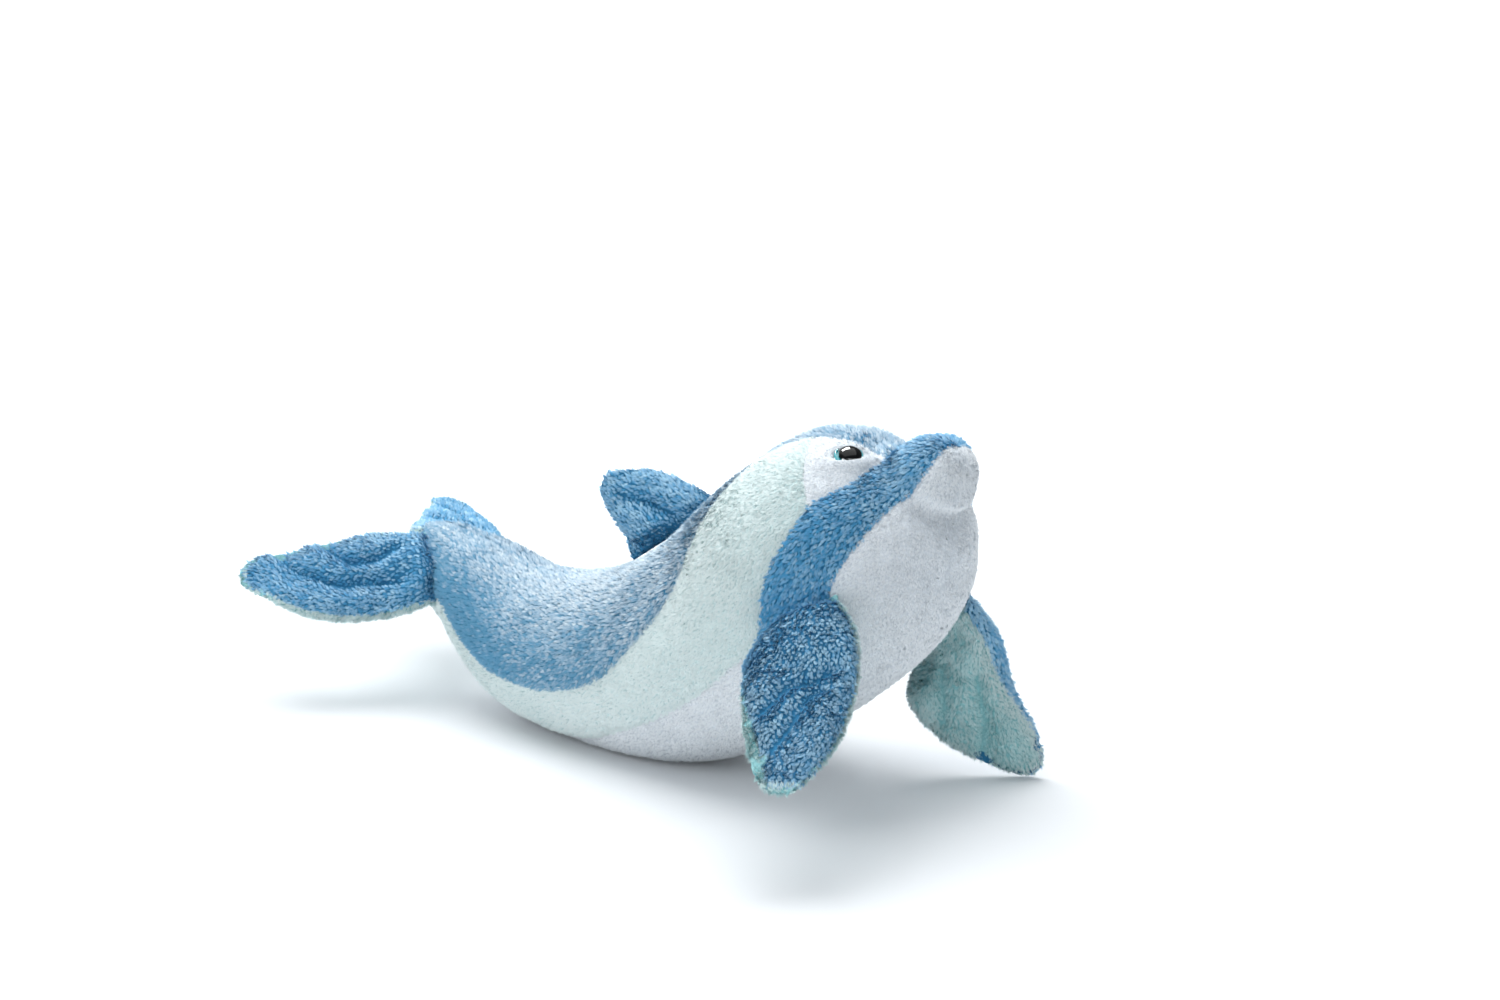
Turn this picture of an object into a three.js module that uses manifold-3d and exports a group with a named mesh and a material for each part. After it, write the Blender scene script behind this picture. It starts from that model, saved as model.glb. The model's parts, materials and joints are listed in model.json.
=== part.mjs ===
// Plush dolphin that lies on its belly with its head raised.
// Millimetres. +X points to the beak, +Y to the toy's left and +Z up. The origin is the middle of the flat
// that the belly rests on.
//
// The body is cut from cloth panels that meet at seams, over one filling. Each flipper, each fluke and the
// back fin is a pair of cloth panels over a filling of its own, sewn to the body along a hem that lets it
// swing.

import * as THREE from 'three';
import Module from 'manifold-3d';

const wasm = await Module();
wasm.setup();

// Cloth and sewing
const FABRIC = 2;
const SEAM_GAP = 0.36;
const FILLING_GAP = 0.95;
const HEM = 2.2;

// The body's sections from the tail to the nose: a point of the spine, and the reach up, down and
// sideways. Where it is given, brow is the share by which the section narrows from its chin to its ridge.
const SECTIONS = [
  { x: -122, z: 72, up: 9, down: 9, side: 2 },
  { x: -115, z: 69, up: 14, down: 14.5, side: 8 },
  { x: -105, z: 64.8, up: 18, down: 19, side: 15.6 },
  { x: -87, z: 55.5, up: 24, down: 26, side: 24 },
  { x: -54, z: 40.5, up: 30.5, down: 36.1, side: 33 },
  { x: -16, z: 36, up: 38, down: 40.1, side: 39 },
  { x: 25, z: 43.5, up: 44, down: 47, side: 45 },
  { x: 64, z: 62.5, up: 49, down: 51, side: 50 },
  { x: 95, z: 83.5, up: 54, down: 53, side: 53 },
  { x: 118, z: 102.5, up: 54, down: 52, side: 52, brow: 0.04 },
  { x: 134, z: 116.5, up: 49.5, down: 47.5, side: 48, brow: 0.1 },
  { x: 145, z: 126, up: 41.5, down: 41, side: 41, brow: 0.16 },
  { x: 153, z: 133, up: 29.5, down: 31.5, side: 31, brow: 0.16 },
  { x: 159.5, z: 140, up: 20, down: 19.5, side: 21, brow: 0.1 },
  { x: 166, z: 146.5, up: 17, down: 14.5, side: 17, brow: 0.02 },
  { x: 172.4, z: 151.6, up: 11.2, down: 10, side: 12 },
  { x: 176, z: 154, up: 3, down: 3, side: 3 },
];
const NOSE = SECTIONS.length - 1;

// The soft belly is pressed flat by the toy's weight below PRESS_START, and trimmed REST_CUT deep to a
// true flat.
const PRESS_START = 6;
const PRESS_DEPTH = 6.6;
const REST_CUT = 0.5;

// The toy leans on its left flipper: its chest and head are rolled by LEAN degrees, and its tail lies level.
const LEAN = 13;
const LEVEL_TO = 5.5;
const LEAN_FROM = 9.5;

// Seams, as pairs of a section number, counted from the tail, and an angle in degrees down from the ridge.
const BACK_SEAM = [
  [0, 100], [1.4, 102], [2.8, 104], [3.8, 109], [4.6, 104], [5.2, 98], [5.8, 90.5], [6.4, 80], [7, 71.5],
  [7.5, 62], [8, 39], [8.6, 25], [9.4, 24], [10.35, 27], [11.1, 31], [11.7, 30.5],
  [12.3, 32], [12.75, 42], [12.95, 36],
];
const STRIPE_SEAM = [
  [0, 148], [2.1, 150], [4, 149.5], [4.6, 146], [5.2, 138.5], [5.8, 124], [6.4, 119], [7, 117.5],
  [7.5, 116.5], [8.25, 115.5], [8.8, 101], [9.4, 92.5], [10, 85.5], [10.35, 80.5],
];
const PATCH_SEAM = [[10.35, 80.5], [11.1, 78], [11.7, 73], [12.3, 60], [12.75, 48]];
const CHIN_SEAM = [
  [8.25, 119.5], [8.8, 128], [9.4, 128], [10, 119], [10.35, 116.5], [11.1, 112], [12.3, 107], [13, 108],
  [13.5, 106], [14, 102.5], [14.5, 92], [15, 73], [15.4, 37], [15.62, 7],
];
const BAND_END = 8.25;
const PATCH_END = 10.35;
const PATCH_TIP = 12.75;
const BEAK_CREASE = 12.95;
const BEAK_START = 13;
const BEAK_TOP_END = 15.62;
const NOSE_END = 15.99;
const SEAM_STATIONS = [
  0, 0.7, 1.4, 2.1, 2.8, 3.4, 4, 4.6, 5.2, 5.8, 6.4, 7, 7.5, 8, BAND_END, 8.8, 9.4, 10, PATCH_END, 11.1, 11.7,
  12.3, PATCH_TIP, BEAK_CREASE, 13.5, 14, 14.5, 15, 15.4, BEAK_TOP_END, 15.85, NOSE_END,
];
const DART_START = 11.7;
const FILLING_STATIONS = [
  0.7, 1.4, 2.1, 2.8, 3.4, 4, 4.6, 5.2, 5.8, 6.4, 7, 7.5, 8, 8.8, 10, 11.1, 12.3, BEAK_CREASE, 14, 15,
  BEAK_TOP_END,
];

// A bag of granulate low in the belly, which keeps the head up.
const BAG = { x: -22, z: 22, length: 116, width: 58, height: 46 };

// Limbs. Profiles run from the hem to the tip as a share of the length, with a half width and a drift
// sideways.
const FLIPPER = {
  length: 87,
  halfThickness: 7,
  hem: [[8.85, 119], [9.85, 127]],
  profile: [
    [0, 13.5, 0], [0.15, 19, 0], [0.3, 22.5, 0], [0.5, 23.5, 0], [0.7, 20.5, 0], [0.88, 13, 0], [1, 5, 0],
  ],
};
const FLIPPER_RIGHT = { droop: 37, sweep: 22, twist: -25, bow: 2, reach: 1 };
const FLIPPER_LEFT = { droop: 71, sweep: 19, twist: -47, bow: -15, reach: 0.95 };
const FLUKE = {
  length: 77,
  halfThickness: 8,
  hem: [[2.2, 110], [0.4, 127]],
  profile: [[0, 12.5, 0], [0.2, 19, 2], [0.45, 22, 4], [0.7, 18.5, 7], [0.9, 11, 11], [1, 4, 13]],
};
const FLUKE_RIGHT = { spread: 50, rise: -7, twist: -20 };
const FLUKE_LEFT = { spread: 56, rise: 2, twist: 0 };
const FIN = {
  length: 35,
  halfThickness: 7,
  hem: [[5.7, 0], [7.35, 0]],
  profile: [[0, 26.5, -1], [0.3, 22, 1], [0.57, 18.5, 5.5], [0.8, 14.5, 10.5], [0.92, 10, 14], [1, 5, 16.5]],
};
const LIMB_EDGE = 1.7;
const LIMB_LEAST = 2.5;
const LIMB_ROWS = 7;
const LIMB_COLUMNS = 6;
const HEM_ANGLES = [60, 30];

// Safety eyes: a cup whose shank goes through the cloth, a pupil set in the cup, and a lock washer inside.
const EYE = { station: 11.6, angle: 51.5, cupRadius: 6, cupHeight: 1.7, shankRadius: 2, shankLength: 9 };
const PUPIL = { radius: 4.7, height: 3.1, sunk: 0.7, forward: 0.6 };
const WASHER = { radius: 5.8, thickness: 1.5, drop: 0.8 };
const FIT = 0.3;

const COLOURS = {
  back: 0x9cc4dc, stripe: 0xd3e8e6, white: 0xe6e9f0, band: 0x5f98bd, fin: 0x5c96bb, mint: 0xa9cbc8,
  filling: 0xf4f2ec, granulate: 0xd8d4c8, iris: 0x4fb6c0, pupil: 0x050506, washer: 0xe9e9e4,
};

const RIGHT = -1;
const LEFT = 1;
const radians = THREE.MathUtils.degToRad;

// A smooth curve through hand-picked pairs, read at any station.
function readCurve(pairs, at, column = 1) {
  const last = pairs.length - 1;
  const found = pairs.findIndex((pair) => pair[0] >= at);
  const i = THREE.MathUtils.clamp(found < 0 ? last : found, 1, last) - 1;
  const slope = (k) => {
    const before = pairs[Math.max(k - 1, 0)];
    const after = pairs[Math.min(k + 1, last)];
    return (after[column] - before[column]) / (after[0] - before[0]);
  };
  const span = pairs[i + 1][0] - pairs[i][0];
  const t = THREE.MathUtils.clamp((at - pairs[i][0]) / span, 0, 1);
  const rise = pairs[i + 1][column] - pairs[i][column];
  const a = slope(i) * span - rise;
  const b = rise - slope(i + 1) * span;
  return pairs[i][column] + t * rise + t * (1 - t) * ((1 - t) * a + t * b);
}

// The stuffed form
const spine = new THREE.SplineCurve(SECTIONS.map((s) => new THREE.Vector2(s.x, s.z)));
const reach = new THREE.SplineCurve(SECTIONS.map((s) => new THREE.Vector2(s.up, s.down)));
const breadth = new THREE.SplineCurve(SECTIONS.map((s) => new THREE.Vector2(s.side, s.brow ?? 0)));

function pressFlat(z) {
  const below = Math.max(PRESS_START - z, 0);
  return z + below - PRESS_DEPTH * Math.tanh(below / PRESS_DEPTH) - REST_CUT;
}

// A point of the skin, or of a layer that lies deeper by the same depth in every direction of its section.
// Past the end of the beak's top the skin closes to a round point.
function skin(station, angle, depth = 0) {
  const t = THREE.MathUtils.clamp(station / NOSE, 0, 1);
  const centre = spine.getPoint(t);
  const along = spine.getTangent(t);
  const { x: up, y: down } = reach.getPoint(t);
  const past = THREE.MathUtils.clamp((station - BEAK_TOP_END) / (NOSE - BEAK_TOP_END), 0, 1);
  const closing = Math.sqrt(1 - past * past);
  const roll = radians(LEAN) * THREE.MathUtils.smoothstep(station, LEVEL_TO, LEAN_FROM);
  const height = Math.cos(angle + roll);
  const reachHere = closing * (height > 0 ? up : down);
  const { x: side, y: brow } = breadth.getPoint(t);
  const inset = (full) => Math.max(full - depth, 0.1 * full);
  const rise = height * inset(reachHere);
  const sideways = Math.sin(angle + roll) * inset(closing * side * (1 - (brow * (1 + Math.cos(angle))) / 2));
  const skinHeight = centre.y + along.x * height * reachHere;
  const layerHeight = centre.y + along.x * rise;
  const level = pressFlat(skinHeight) + layerHeight - skinHeight;
  return new THREE.Vector3(centre.x - along.y * rise, sideways, level);
}

function slopes(station, angle) {
  const step = 0.01;
  const before = Math.max(station - step, 0);
  const after = Math.min(station + step, NOSE);
  const alongBody = skin(after, angle).sub(skin(before, angle)).divideScalar(after - before);
  const around = skin(station, angle + step).sub(skin(station, angle - step)).divideScalar(2 * step);
  return { alongBody, around, normal: alongBody.clone().cross(around).normalize() };
}

// Meshes and solids
function meshGeometry(points, triangles) {
  const geometry = new THREE.BufferGeometry();
  geometry.setAttribute('position', new THREE.Float32BufferAttribute(points.flatMap((p) => p.toArray()), 3));
  geometry.setIndex(triangles);
  return geometry;
}

// A closed slab between two grids of points that have the same rows and columns. Each of its four-sided
// fields folds along its shorter diagonal.
function slab(outer, inner) {
  const rows = outer.length;
  const columns = outer[0].length;
  const points = [...outer.flat(), ...inner.flat()];
  const top = (i, j) => i * columns + j;
  const under = (i, j) => rows * columns + top(i, j);
  const triangles = [];
  const quad = (a, b, c, d) => triangles.push(a, b, c, a, c, d);
  for (let i = 0; i < rows - 1; i += 1) {
    for (let j = 0; j < columns - 1; j += 1) {
      const falls = outer[i][j].distanceTo(outer[i + 1][j + 1]) < outer[i + 1][j].distanceTo(outer[i][j + 1]);
      if (falls) {
        quad(top(i, j), top(i + 1, j), top(i + 1, j + 1), top(i, j + 1));
        quad(under(i + 1, j + 1), under(i + 1, j), under(i, j), under(i, j + 1));
      } else {
        quad(top(i + 1, j), top(i + 1, j + 1), top(i, j + 1), top(i, j));
        quad(under(i, j + 1), under(i + 1, j + 1), under(i + 1, j), under(i, j));
      }
    }
    quad(top(i, 0), under(i, 0), under(i + 1, 0), top(i + 1, 0));
    quad(top(i + 1, columns - 1), under(i + 1, columns - 1), under(i, columns - 1), top(i, columns - 1));
  }
  for (let j = 0; j < columns - 1; j += 1) {
    quad(top(0, j + 1), under(0, j + 1), under(0, j), top(0, j));
    quad(top(rows - 1, j), under(rows - 1, j), under(rows - 1, j + 1), top(rows - 1, j + 1));
  }
  return meshGeometry(points, triangles);
}

function toSolid(geometry) {
  const { position } = geometry.attributes;
  return new wasm.Manifold(new wasm.Mesh({
    numProp: 3,
    vertProperties: Float32Array.from(position.array),
    triVerts: Uint32Array.from(geometry.index.array),
  }));
}

function toGeometry(solid) {
  const { vertProperties, triVerts } = solid.getMesh();
  const geometry = new THREE.BufferGeometry();
  geometry.setAttribute('position', new THREE.BufferAttribute(Float32Array.from(vertProperties), 3));
  geometry.setIndex(new THREE.BufferAttribute(Uint32Array.from(triVerts), 1));
  return geometry;
}

// A turned solid about +Z: the profile's pairs are a radius and a height, from the axis round to the axis.
function turned(profile, segments) {
  const rings = profile.slice(1, -1);
  const points = [new THREE.Vector3(0, 0, profile[0][1])];
  rings.forEach(([radius, height]) => {
    for (let k = 0; k < segments; k += 1) {
      const turn = (2 * Math.PI * k) / segments;
      points.push(new THREE.Vector3(radius * Math.cos(turn), radius * Math.sin(turn), height));
    }
  });
  points.push(new THREE.Vector3(0, 0, profile[profile.length - 1][1]));
  const end = points.length - 1;
  const triangles = [];
  const at = (ring, k) => 1 + ring * segments + (k % segments);
  for (let k = 0; k < segments; k += 1) {
    triangles.push(0, at(0, k + 1), at(0, k));
    for (let ring = 0; ring < rings.length - 1; ring += 1) {
      triangles.push(at(ring, k), at(ring, k + 1), at(ring + 1, k + 1));
      triangles.push(at(ring, k), at(ring + 1, k + 1), at(ring + 1, k));
    }
    triangles.push(end, at(rings.length - 1, k), at(rings.length - 1, k + 1));
  }
  return meshGeometry(points, triangles);
}

function rod(radius, low, high, segments) {
  return turned([[0, low], [radius, low], [radius, high], [0, high]], segments);
}

const dolphin = new THREE.Group();

function addPart(name, geometry, colour, roughness = 0.95, parent = dolphin) {
  const material = new THREE.MeshStandardMaterial({ color: colour, roughness, metalness: 0 });
  const mesh = new THREE.Mesh(geometry, material);
  mesh.name = name;
  parent.add(mesh);
  return mesh;
}

// Cloth panels of the body

// How far, as an angle, an edge stays back from a seam so that two neighbours leave the seam gap between
// them.
function seamAllowance(seam, station, side) {
  const step = 0.02;
  const angle = side * radians(seam(station));
  const { alongBody, around } = slopes(station, angle);
  const turn = side * radians(seam(station + step) - seam(station - step)) / (2 * step);
  const run = alongBody.addScaledVector(around, turn);
  return (SEAM_GAP / 2) * run.length() / around.clone().cross(run).length();
}

// Rows of stations between two ends, drawn back from both by half a seam gap.
function rowsBetween(first, last, angle) {
  const rows = SEAM_STATIONS.filter((station) => station >= first && station <= last);
  const back = (station) => SEAM_GAP / 2 / slopes(station, radians(angle)).alongBody.length();
  rows[0] += back(first);
  rows[rows.length - 1] -= back(last);
  return rows;
}

// A panel lies between an upper and a lower seam, both read as degrees down from the ridge.
function clothPanel(rows, upper, lower, columns, side) {
  const outer = [];
  const inner = [];
  rows.forEach((station) => {
    const high = radians(upper(station)) + seamAllowance(upper, station, side);
    const low = radians(lower(station)) - seamAllowance(lower, station, side);
    const angles = Array.from({ length: columns + 1 },
      (_, j) => THREE.MathUtils.lerp(high, low, j / columns));
    const ordered = side === LEFT ? angles : angles.map((angle) => -angle).reverse();
    outer.push(ordered.map((angle) => skin(station, angle)));
    inner.push(ordered.map((angle) => skin(station, angle, FABRIC)));
  });
  return slab(outer, inner);
}

const ridge = () => 0;
const backSeam = (station) => readCurve(BACK_SEAM, station);
const patchSeam = (station) => readCurve(PATCH_SEAM, station);
const stripeSeam = (station) => readCurve(STRIPE_SEAM, station);
const chinSeam = (station) => (station >= BEAK_TOP_END ? 0 : readCurve(CHIN_SEAM, station));

function bandTop(station) {
  if (station < PATCH_END) return stripeSeam(station);
  if (station <= PATCH_TIP) return patchSeam(station);
  return station < BEAK_START ? backSeam(station) : 0;
}

function bellyTop(station) {
  return station < BAND_END ? stripeSeam(station) : chinSeam(station);
}

// The belly and chin are one panel from seam to seam under the body, with a dart up the throat to the chin.
function bellyPanel() {
  const rows = rowsBetween(0, NOSE_END, 180);
  const columns = 10;
  const outer = [];
  const inner = [];
  rows.forEach((station) => {
    const [right, left] = [RIGHT, LEFT].map(
      (side) => radians(bellyTop(station)) + seamAllowance(bellyTop, station, side),
    );
    const angles = Array.from({ length: columns + 1 },
      (_, j) => THREE.MathUtils.lerp(left, 2 * Math.PI - right, j / columns));
    outer.push(angles.map((angle) => skin(station, angle)));
    inner.push(angles.map((angle) => skin(station, angle, FABRIC)));
  });
  const reachBelow = 300;
  const floor = new THREE.BoxGeometry(2 * reachBelow, 2 * reachBelow, reachBelow);
  floor.translate(0, 0, -reachBelow / 2);
  const dartFrom = spine.getPoint(DART_START / NOSE);
  const start = new THREE.Vector3(dartFrom.x, 0, dartFrom.y);
  const out = skin(DART_START, Math.PI).sub(start).normalize();
  const onward = skin(NOSE, Math.PI).sub(start);
  onward.addScaledVector(out, -onward.dot(out)).normalize();
  const dart = new THREE.BoxGeometry(reachBelow, SEAM_GAP, reachBelow);
  dart.translate(reachBelow / 2, 0, reachBelow / 2);
  dart.applyMatrix4(new THREE.Matrix4().makeBasis(onward, out.clone().cross(onward), out).setPosition(start));
  return toGeometry(toSolid(slab(outer, inner)).subtract(boxSolid(floor)).subtract(boxSolid(dart)));
}

// A box's six faces share no corners, so its corners are joined before it is used as a cutter.
function boxSolid(box) {
  const { position } = box.attributes;
  const points = [];
  const names = new Map();
  const corner = (i) => {
    const p = new THREE.Vector3().fromBufferAttribute(position, i);
    const key = p.toArray().map((x) => x.toFixed(4)).join(' ');
    if (!names.has(key)) {
      names.set(key, points.length);
      points.push(p);
    }
    return names.get(key);
  };
  return toSolid(meshGeometry(points, Array.from(box.index.array, corner)));
}

// The body's filling, a closed loft inside the cloth.
function bodyFilling(stations, depth) {
  const around = 16;
  const points = [];
  stations.forEach((station) => {
    for (let k = 0; k < around; k += 1) points.push(skin(station, (2 * Math.PI * k) / around, depth));
  });
  const middle = (ring) => points.slice(ring * around, (ring + 1) * around)
    .reduce((sum, p) => sum.add(p), new THREE.Vector3()).divideScalar(around);
  const tailEnd = points.push(middle(0)) - 1;
  const noseEnd = points.push(middle(stations.length - 1)) - 1;
  const at = (ring, k) => ring * around + (k % around);
  const triangles = [];
  for (let k = 0; k < around; k += 1) {
    triangles.push(tailEnd, at(0, k), at(0, k + 1));
    for (let ring = 0; ring < stations.length - 1; ring += 1) {
      triangles.push(at(ring, k), at(ring + 1, k), at(ring + 1, k + 1));
      triangles.push(at(ring, k), at(ring + 1, k + 1), at(ring, k + 1));
    }
    triangles.push(noseEnd, at(stations.length - 1, k + 1), at(stations.length - 1, k));
  }
  return toSolid(meshGeometry(points, triangles));
}

function ellipsoid({ x, z, length, width, height }, margin) {
  const rings = 8;
  const profile = Array.from({ length: rings + 1 }, (_, k) => {
    const turn = (Math.PI * k) / rings;
    return [Math.sin(turn), -Math.cos(turn)];
  });
  const geometry = turned(profile, 16);
  geometry.scale(length / 2 + margin, width / 2 + margin, height / 2 + margin);
  return toSolid(geometry.translate(x, 0, z));
}

// A hem sewn to the body between two points of its surface: the line that the limb swings about.
function hemLine(ends, side) {
  const [a, b] = ends.map(([station, angle]) => skin(station, side * radians(angle)));
  const axis = b.clone().sub(a).normalize();
  const half = a.distanceTo(b) / 2;
  const middle = a.clone().add(b).multiplyScalar(0.5);
  const station = (ends[0][0] + ends[1][0]) / 2;
  const angle = (side * radians(ends[0][1] + ends[1][1])) / 2;
  const outward = slopes(station, angle).normal;
  outward.addScaledVector(axis, -outward.dot(axis)).normalize();
  const across = axis.clone().cross(outward);
  const clear = HEM + SEAM_GAP;
  const low = Math.min(ends[0][0], ends[1][0]) - 1;
  const high = Math.max(ends[0][0], ends[1][0]) + 1;
  const steps = 40;
  let lift = 0;
  for (let i = 0; i <= steps; i += 1) {
    for (let j = 0; j <= steps; j += 1) {
      const from = skin(THREE.MathUtils.lerp(low, high, i / steps), angle + (j / steps - 0.5)).sub(middle);
      const away = from.dot(across);
      if (Math.abs(from.dot(axis)) < half + HEM && Math.abs(away) < clear) {
        lift = Math.max(lift, from.dot(outward) + Math.sqrt(clear * clear - away * away));
      }
    }
  }
  return { origin: middle.addScaledVector(outward, lift), axis, outward };
}

// A limb of two cloth panels and a filling. It leaves its hem along a direction, with its breadth along
// chord, and turns about that direction by twist degrees over the first part of its length.
function limbGrids(shape, hem, direction, chord, twist) {
  const bladeWay = chord.clone().addScaledVector(direction, -chord.dot(direction)).normalize();
  bladeWay.applyAxisAngle(direction, radians(twist));
  const stops = [
    ...HEM_ANGLES.map(radians).map((turn) => ({ out: -HEM * Math.sin(turn), thick: HEM * Math.cos(turn) })),
    { out: 0, thick: HEM },
  ];
  for (let i = 1; i <= LIMB_ROWS; i += 1) {
    const share = i / LIMB_ROWS;
    const swell = Math.sin(Math.PI * Math.min(0.5 + 0.5 * share, 1) ** 0.8) ** 0.5;
    const grow = Math.min(1, (HEM + 1.1 * share * shape.length) / shape.halfThickness);
    const thick = Math.max(shape.halfThickness * swell * grow, LIMB_LEAST);
    stops.push({ out: share * shape.length, thick });
  }
  return stops.map(({ out, thick }) => {
    const share = Math.max(out, 0) / shape.length;
    const half = readCurve(shape.profile, share, 1);
    const drift = readCurve(shape.profile, share, 2) + (shape.bow ?? 0) * Math.sin(Math.PI * share);
    const breadthWay = chord.clone().lerp(bladeWay, THREE.MathUtils.smoothstep(share, 0, 0.5)).normalize();
    const thickWay = direction.clone().cross(breadthWay).normalize();
    const middle = hem.origin.clone().addScaledVector(direction, out);
    return Array.from({ length: LIMB_COLUMNS + 1 }, (_, j) => {
      const c = (2 * j) / LIMB_COLUMNS - 1;
      const crown = (1 - Math.abs(c) ** 2.5) ** 0.7;
      const height = Math.min(LIMB_EDGE, thick) + Math.max(thick - LIMB_EDGE, 0) * crown;
      return { base: middle.clone().addScaledVector(breadthWay, drift + c * half), thickWay, height };
    });
  });
}

function lifted(grid, height) {
  return grid.map((row) => row.map((node) => node.base.clone().addScaledVector(node.thickWay, height(node))));
}

function addLimb(name, grid, sides) {
  const inside = (node) => Math.max(node.height - FABRIC, SEAM_GAP / 2);
  const filled = grid.slice(HEM_ANGLES.length + 2, -1).map((row) => row.slice(1, -1));
  const fillTo = (node) => node.height - FABRIC - SEAM_GAP;
  const near = slab(lifted(grid, (node) => node.height), lifted(grid, inside));
  const far = slab(lifted(grid, (node) => -inside(node)), lifted(grid, (node) => -node.height));
  addPart(`${name}_${sides.near}`, near, sides.nearColour);
  addPart(`${name}_${sides.far}`, far, sides.farColour);
  const core = slab(lifted(filled, fillTo), lifted(filled, (node) => -fillTo(node)));
  addPart(`${name}_filling`, core, COLOURS.filling);
}

// Body
[[RIGHT, 'right'], [LEFT, 'left']].forEach(([side, word]) => {
  const back = clothPanel(rowsBetween(0, BEAK_CREASE, 5), ridge, backSeam, 4, side);
  addPart(`back_panel_${word}`, back, COLOURS.back);
  const stripe = clothPanel(rowsBetween(0, PATCH_END, 60), backSeam, stripeSeam, 4, side);
  addPart(`side_stripe_${word}`, stripe, COLOURS.stripe);
  const bandRows = rowsBetween(BAND_END, BEAK_TOP_END, 60);
  bandRows.splice(bandRows.indexOf(BEAK_CREASE) + 1, 0, BEAK_START);
  const band = clothPanel(bandRows, bandTop, chinSeam, 4, side);
  addPart(`face_band_${word}`, band, COLOURS.band);
});
addPart('belly_panel', bellyPanel(), COLOURS.white);

// Eyes and the white patches that they sit in
const eyePockets = [];
[[RIGHT, 'right'], [LEFT, 'left']].forEach(([side, word]) => {
  const angle = side * radians(EYE.angle);
  const seat = skin(EYE.station, angle);
  const { normal, alongBody } = slopes(EYE.station, angle);
  const forward = alongBody.addScaledVector(normal, -alongBody.dot(normal)).normalize();
  const across = normal.clone().cross(forward);
  const place = new THREE.Matrix4().makeBasis(forward, across, normal).setPosition(seat);
  const set = (geometry) => geometry.applyMatrix4(place);

  const hole = rod(EYE.shankRadius + FIT, -2 * FABRIC, FABRIC, 16);
  const patch = clothPanel(rowsBetween(PATCH_END, PATCH_TIP, 35), backSeam, patchSeam, 3, side);
  addPart(`eye_patch_${word}`, toGeometry(toSolid(patch).subtract(toSolid(set(hole)))), COLOURS.white);

  const cupTop = FIT + EYE.cupHeight;
  const cup = turned([
    [0, -EYE.shankLength], [EYE.shankRadius, -EYE.shankLength], [EYE.shankRadius, FIT],
    [EYE.cupRadius - 0.4, FIT], [EYE.cupRadius, FIT + 0.5], [EYE.cupRadius - 0.5, cupTop], [0, cupTop],
  ], 32);
  const recess = rod(PUPIL.radius + FIT, cupTop - PUPIL.sunk, cupTop + PUPIL.height, 32);
  recess.translate(PUPIL.forward, 0, 0);
  const cupSolid = toSolid(set(cup)).subtract(toSolid(set(recess)));
  addPart(`eye_cup_${word}`, toGeometry(cupSolid), COLOURS.iris, 0.25);

  const floor = cupTop - PUPIL.sunk + FIT;
  const dome = [[0, floor], [PUPIL.radius, floor]];
  for (let k = 1; k <= 6; k += 1) {
    const turn = (Math.PI / 2) * (k / 6);
    dome.push([PUPIL.radius * Math.cos(turn), floor + 0.6 + (PUPIL.height - 0.6) * Math.sin(turn)]);
  }
  dome[dome.length - 1][0] = 0;
  const pupil = turned(dome, 32).translate(PUPIL.forward, 0, 0);
  addPart(`eye_pupil_${word}`, set(pupil), COLOURS.pupil, 0.08);

  const washerTop = -(FABRIC + WASHER.drop);
  const disc = rod(WASHER.radius, washerTop - WASHER.thickness, washerTop, 24);
  const bore = rod(EYE.shankRadius + FIT, washerTop - 2 * WASHER.thickness, washerTop + WASHER.thickness, 24);
  const washer = toSolid(set(disc)).subtract(toSolid(set(bore)));
  addPart(`eye_washer_${word}`, toGeometry(washer), COLOURS.washer, 0.4);
  eyePockets.push(toSolid(set(rod(WASHER.radius + FIT, -EYE.shankLength - FIT, FABRIC, 24))));
});

// Filling and granulate
const bodyCore = bodyFilling(FILLING_STATIONS, FABRIC + FILLING_GAP);
const bag = ellipsoid(BAG, 0).intersect(bodyCore);
const hollowCore = bodyCore.subtract(ellipsoid(BAG, FIT));
const core = eyePockets.reduce((solid, pocket) => solid.subtract(pocket), hollowCore);
addPart('body_filling', toGeometry(core), COLOURS.filling);
addPart('granulate_bag', toGeometry(bag), COLOURS.granulate);

// Flippers
[[RIGHT, 'right', FLIPPER_RIGHT], [LEFT, 'left', FLIPPER_LEFT]].forEach(([side, word, pose]) => {
  const hem = hemLine(FLIPPER.hem, side);
  const droop = radians(pose.droop);
  const out = new THREE.Vector3(0, side * Math.cos(droop), -Math.sin(droop));
  const sweep = radians(pose.sweep);
  const direction = out.multiplyScalar(Math.cos(sweep)).add(new THREE.Vector3(Math.sin(sweep), 0, 0));
  const shape = { ...FLIPPER, length: FLIPPER.length * pose.reach, bow: pose.bow };
  const grid = limbGrids(shape, hem, direction, hem.axis, pose.twist);
  const sides = side === RIGHT
    ? { near: 'outer', nearColour: COLOURS.band, far: 'inner', farColour: COLOURS.mint }
    : { near: 'inner', nearColour: COLOURS.mint, far: 'outer', farColour: COLOURS.band };
  addLimb(`flipper_${word}`, grid, sides);
});

// Flukes
[[RIGHT, 'right', FLUKE_RIGHT], [LEFT, 'left', FLUKE_LEFT]].forEach(([side, word, pose]) => {
  const hem = hemLine(FLUKE.hem, side);
  const spread = radians(pose.spread);
  const rise = radians(pose.rise);
  const level = Math.cos(rise);
  const away = side * Math.sin(spread) * level;
  const direction = new THREE.Vector3(-Math.cos(spread) * level, away, Math.sin(rise));
  const grid = limbGrids(FLUKE, hem, direction, hem.axis, pose.twist);
  const sides = side === RIGHT
    ? { near: 'underside', nearColour: COLOURS.mint, far: 'top', farColour: COLOURS.band }
    : { near: 'top', nearColour: COLOURS.band, far: 'underside', farColour: COLOURS.mint };
  addLimb(`fluke_${word}`, grid, sides);
});

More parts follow.
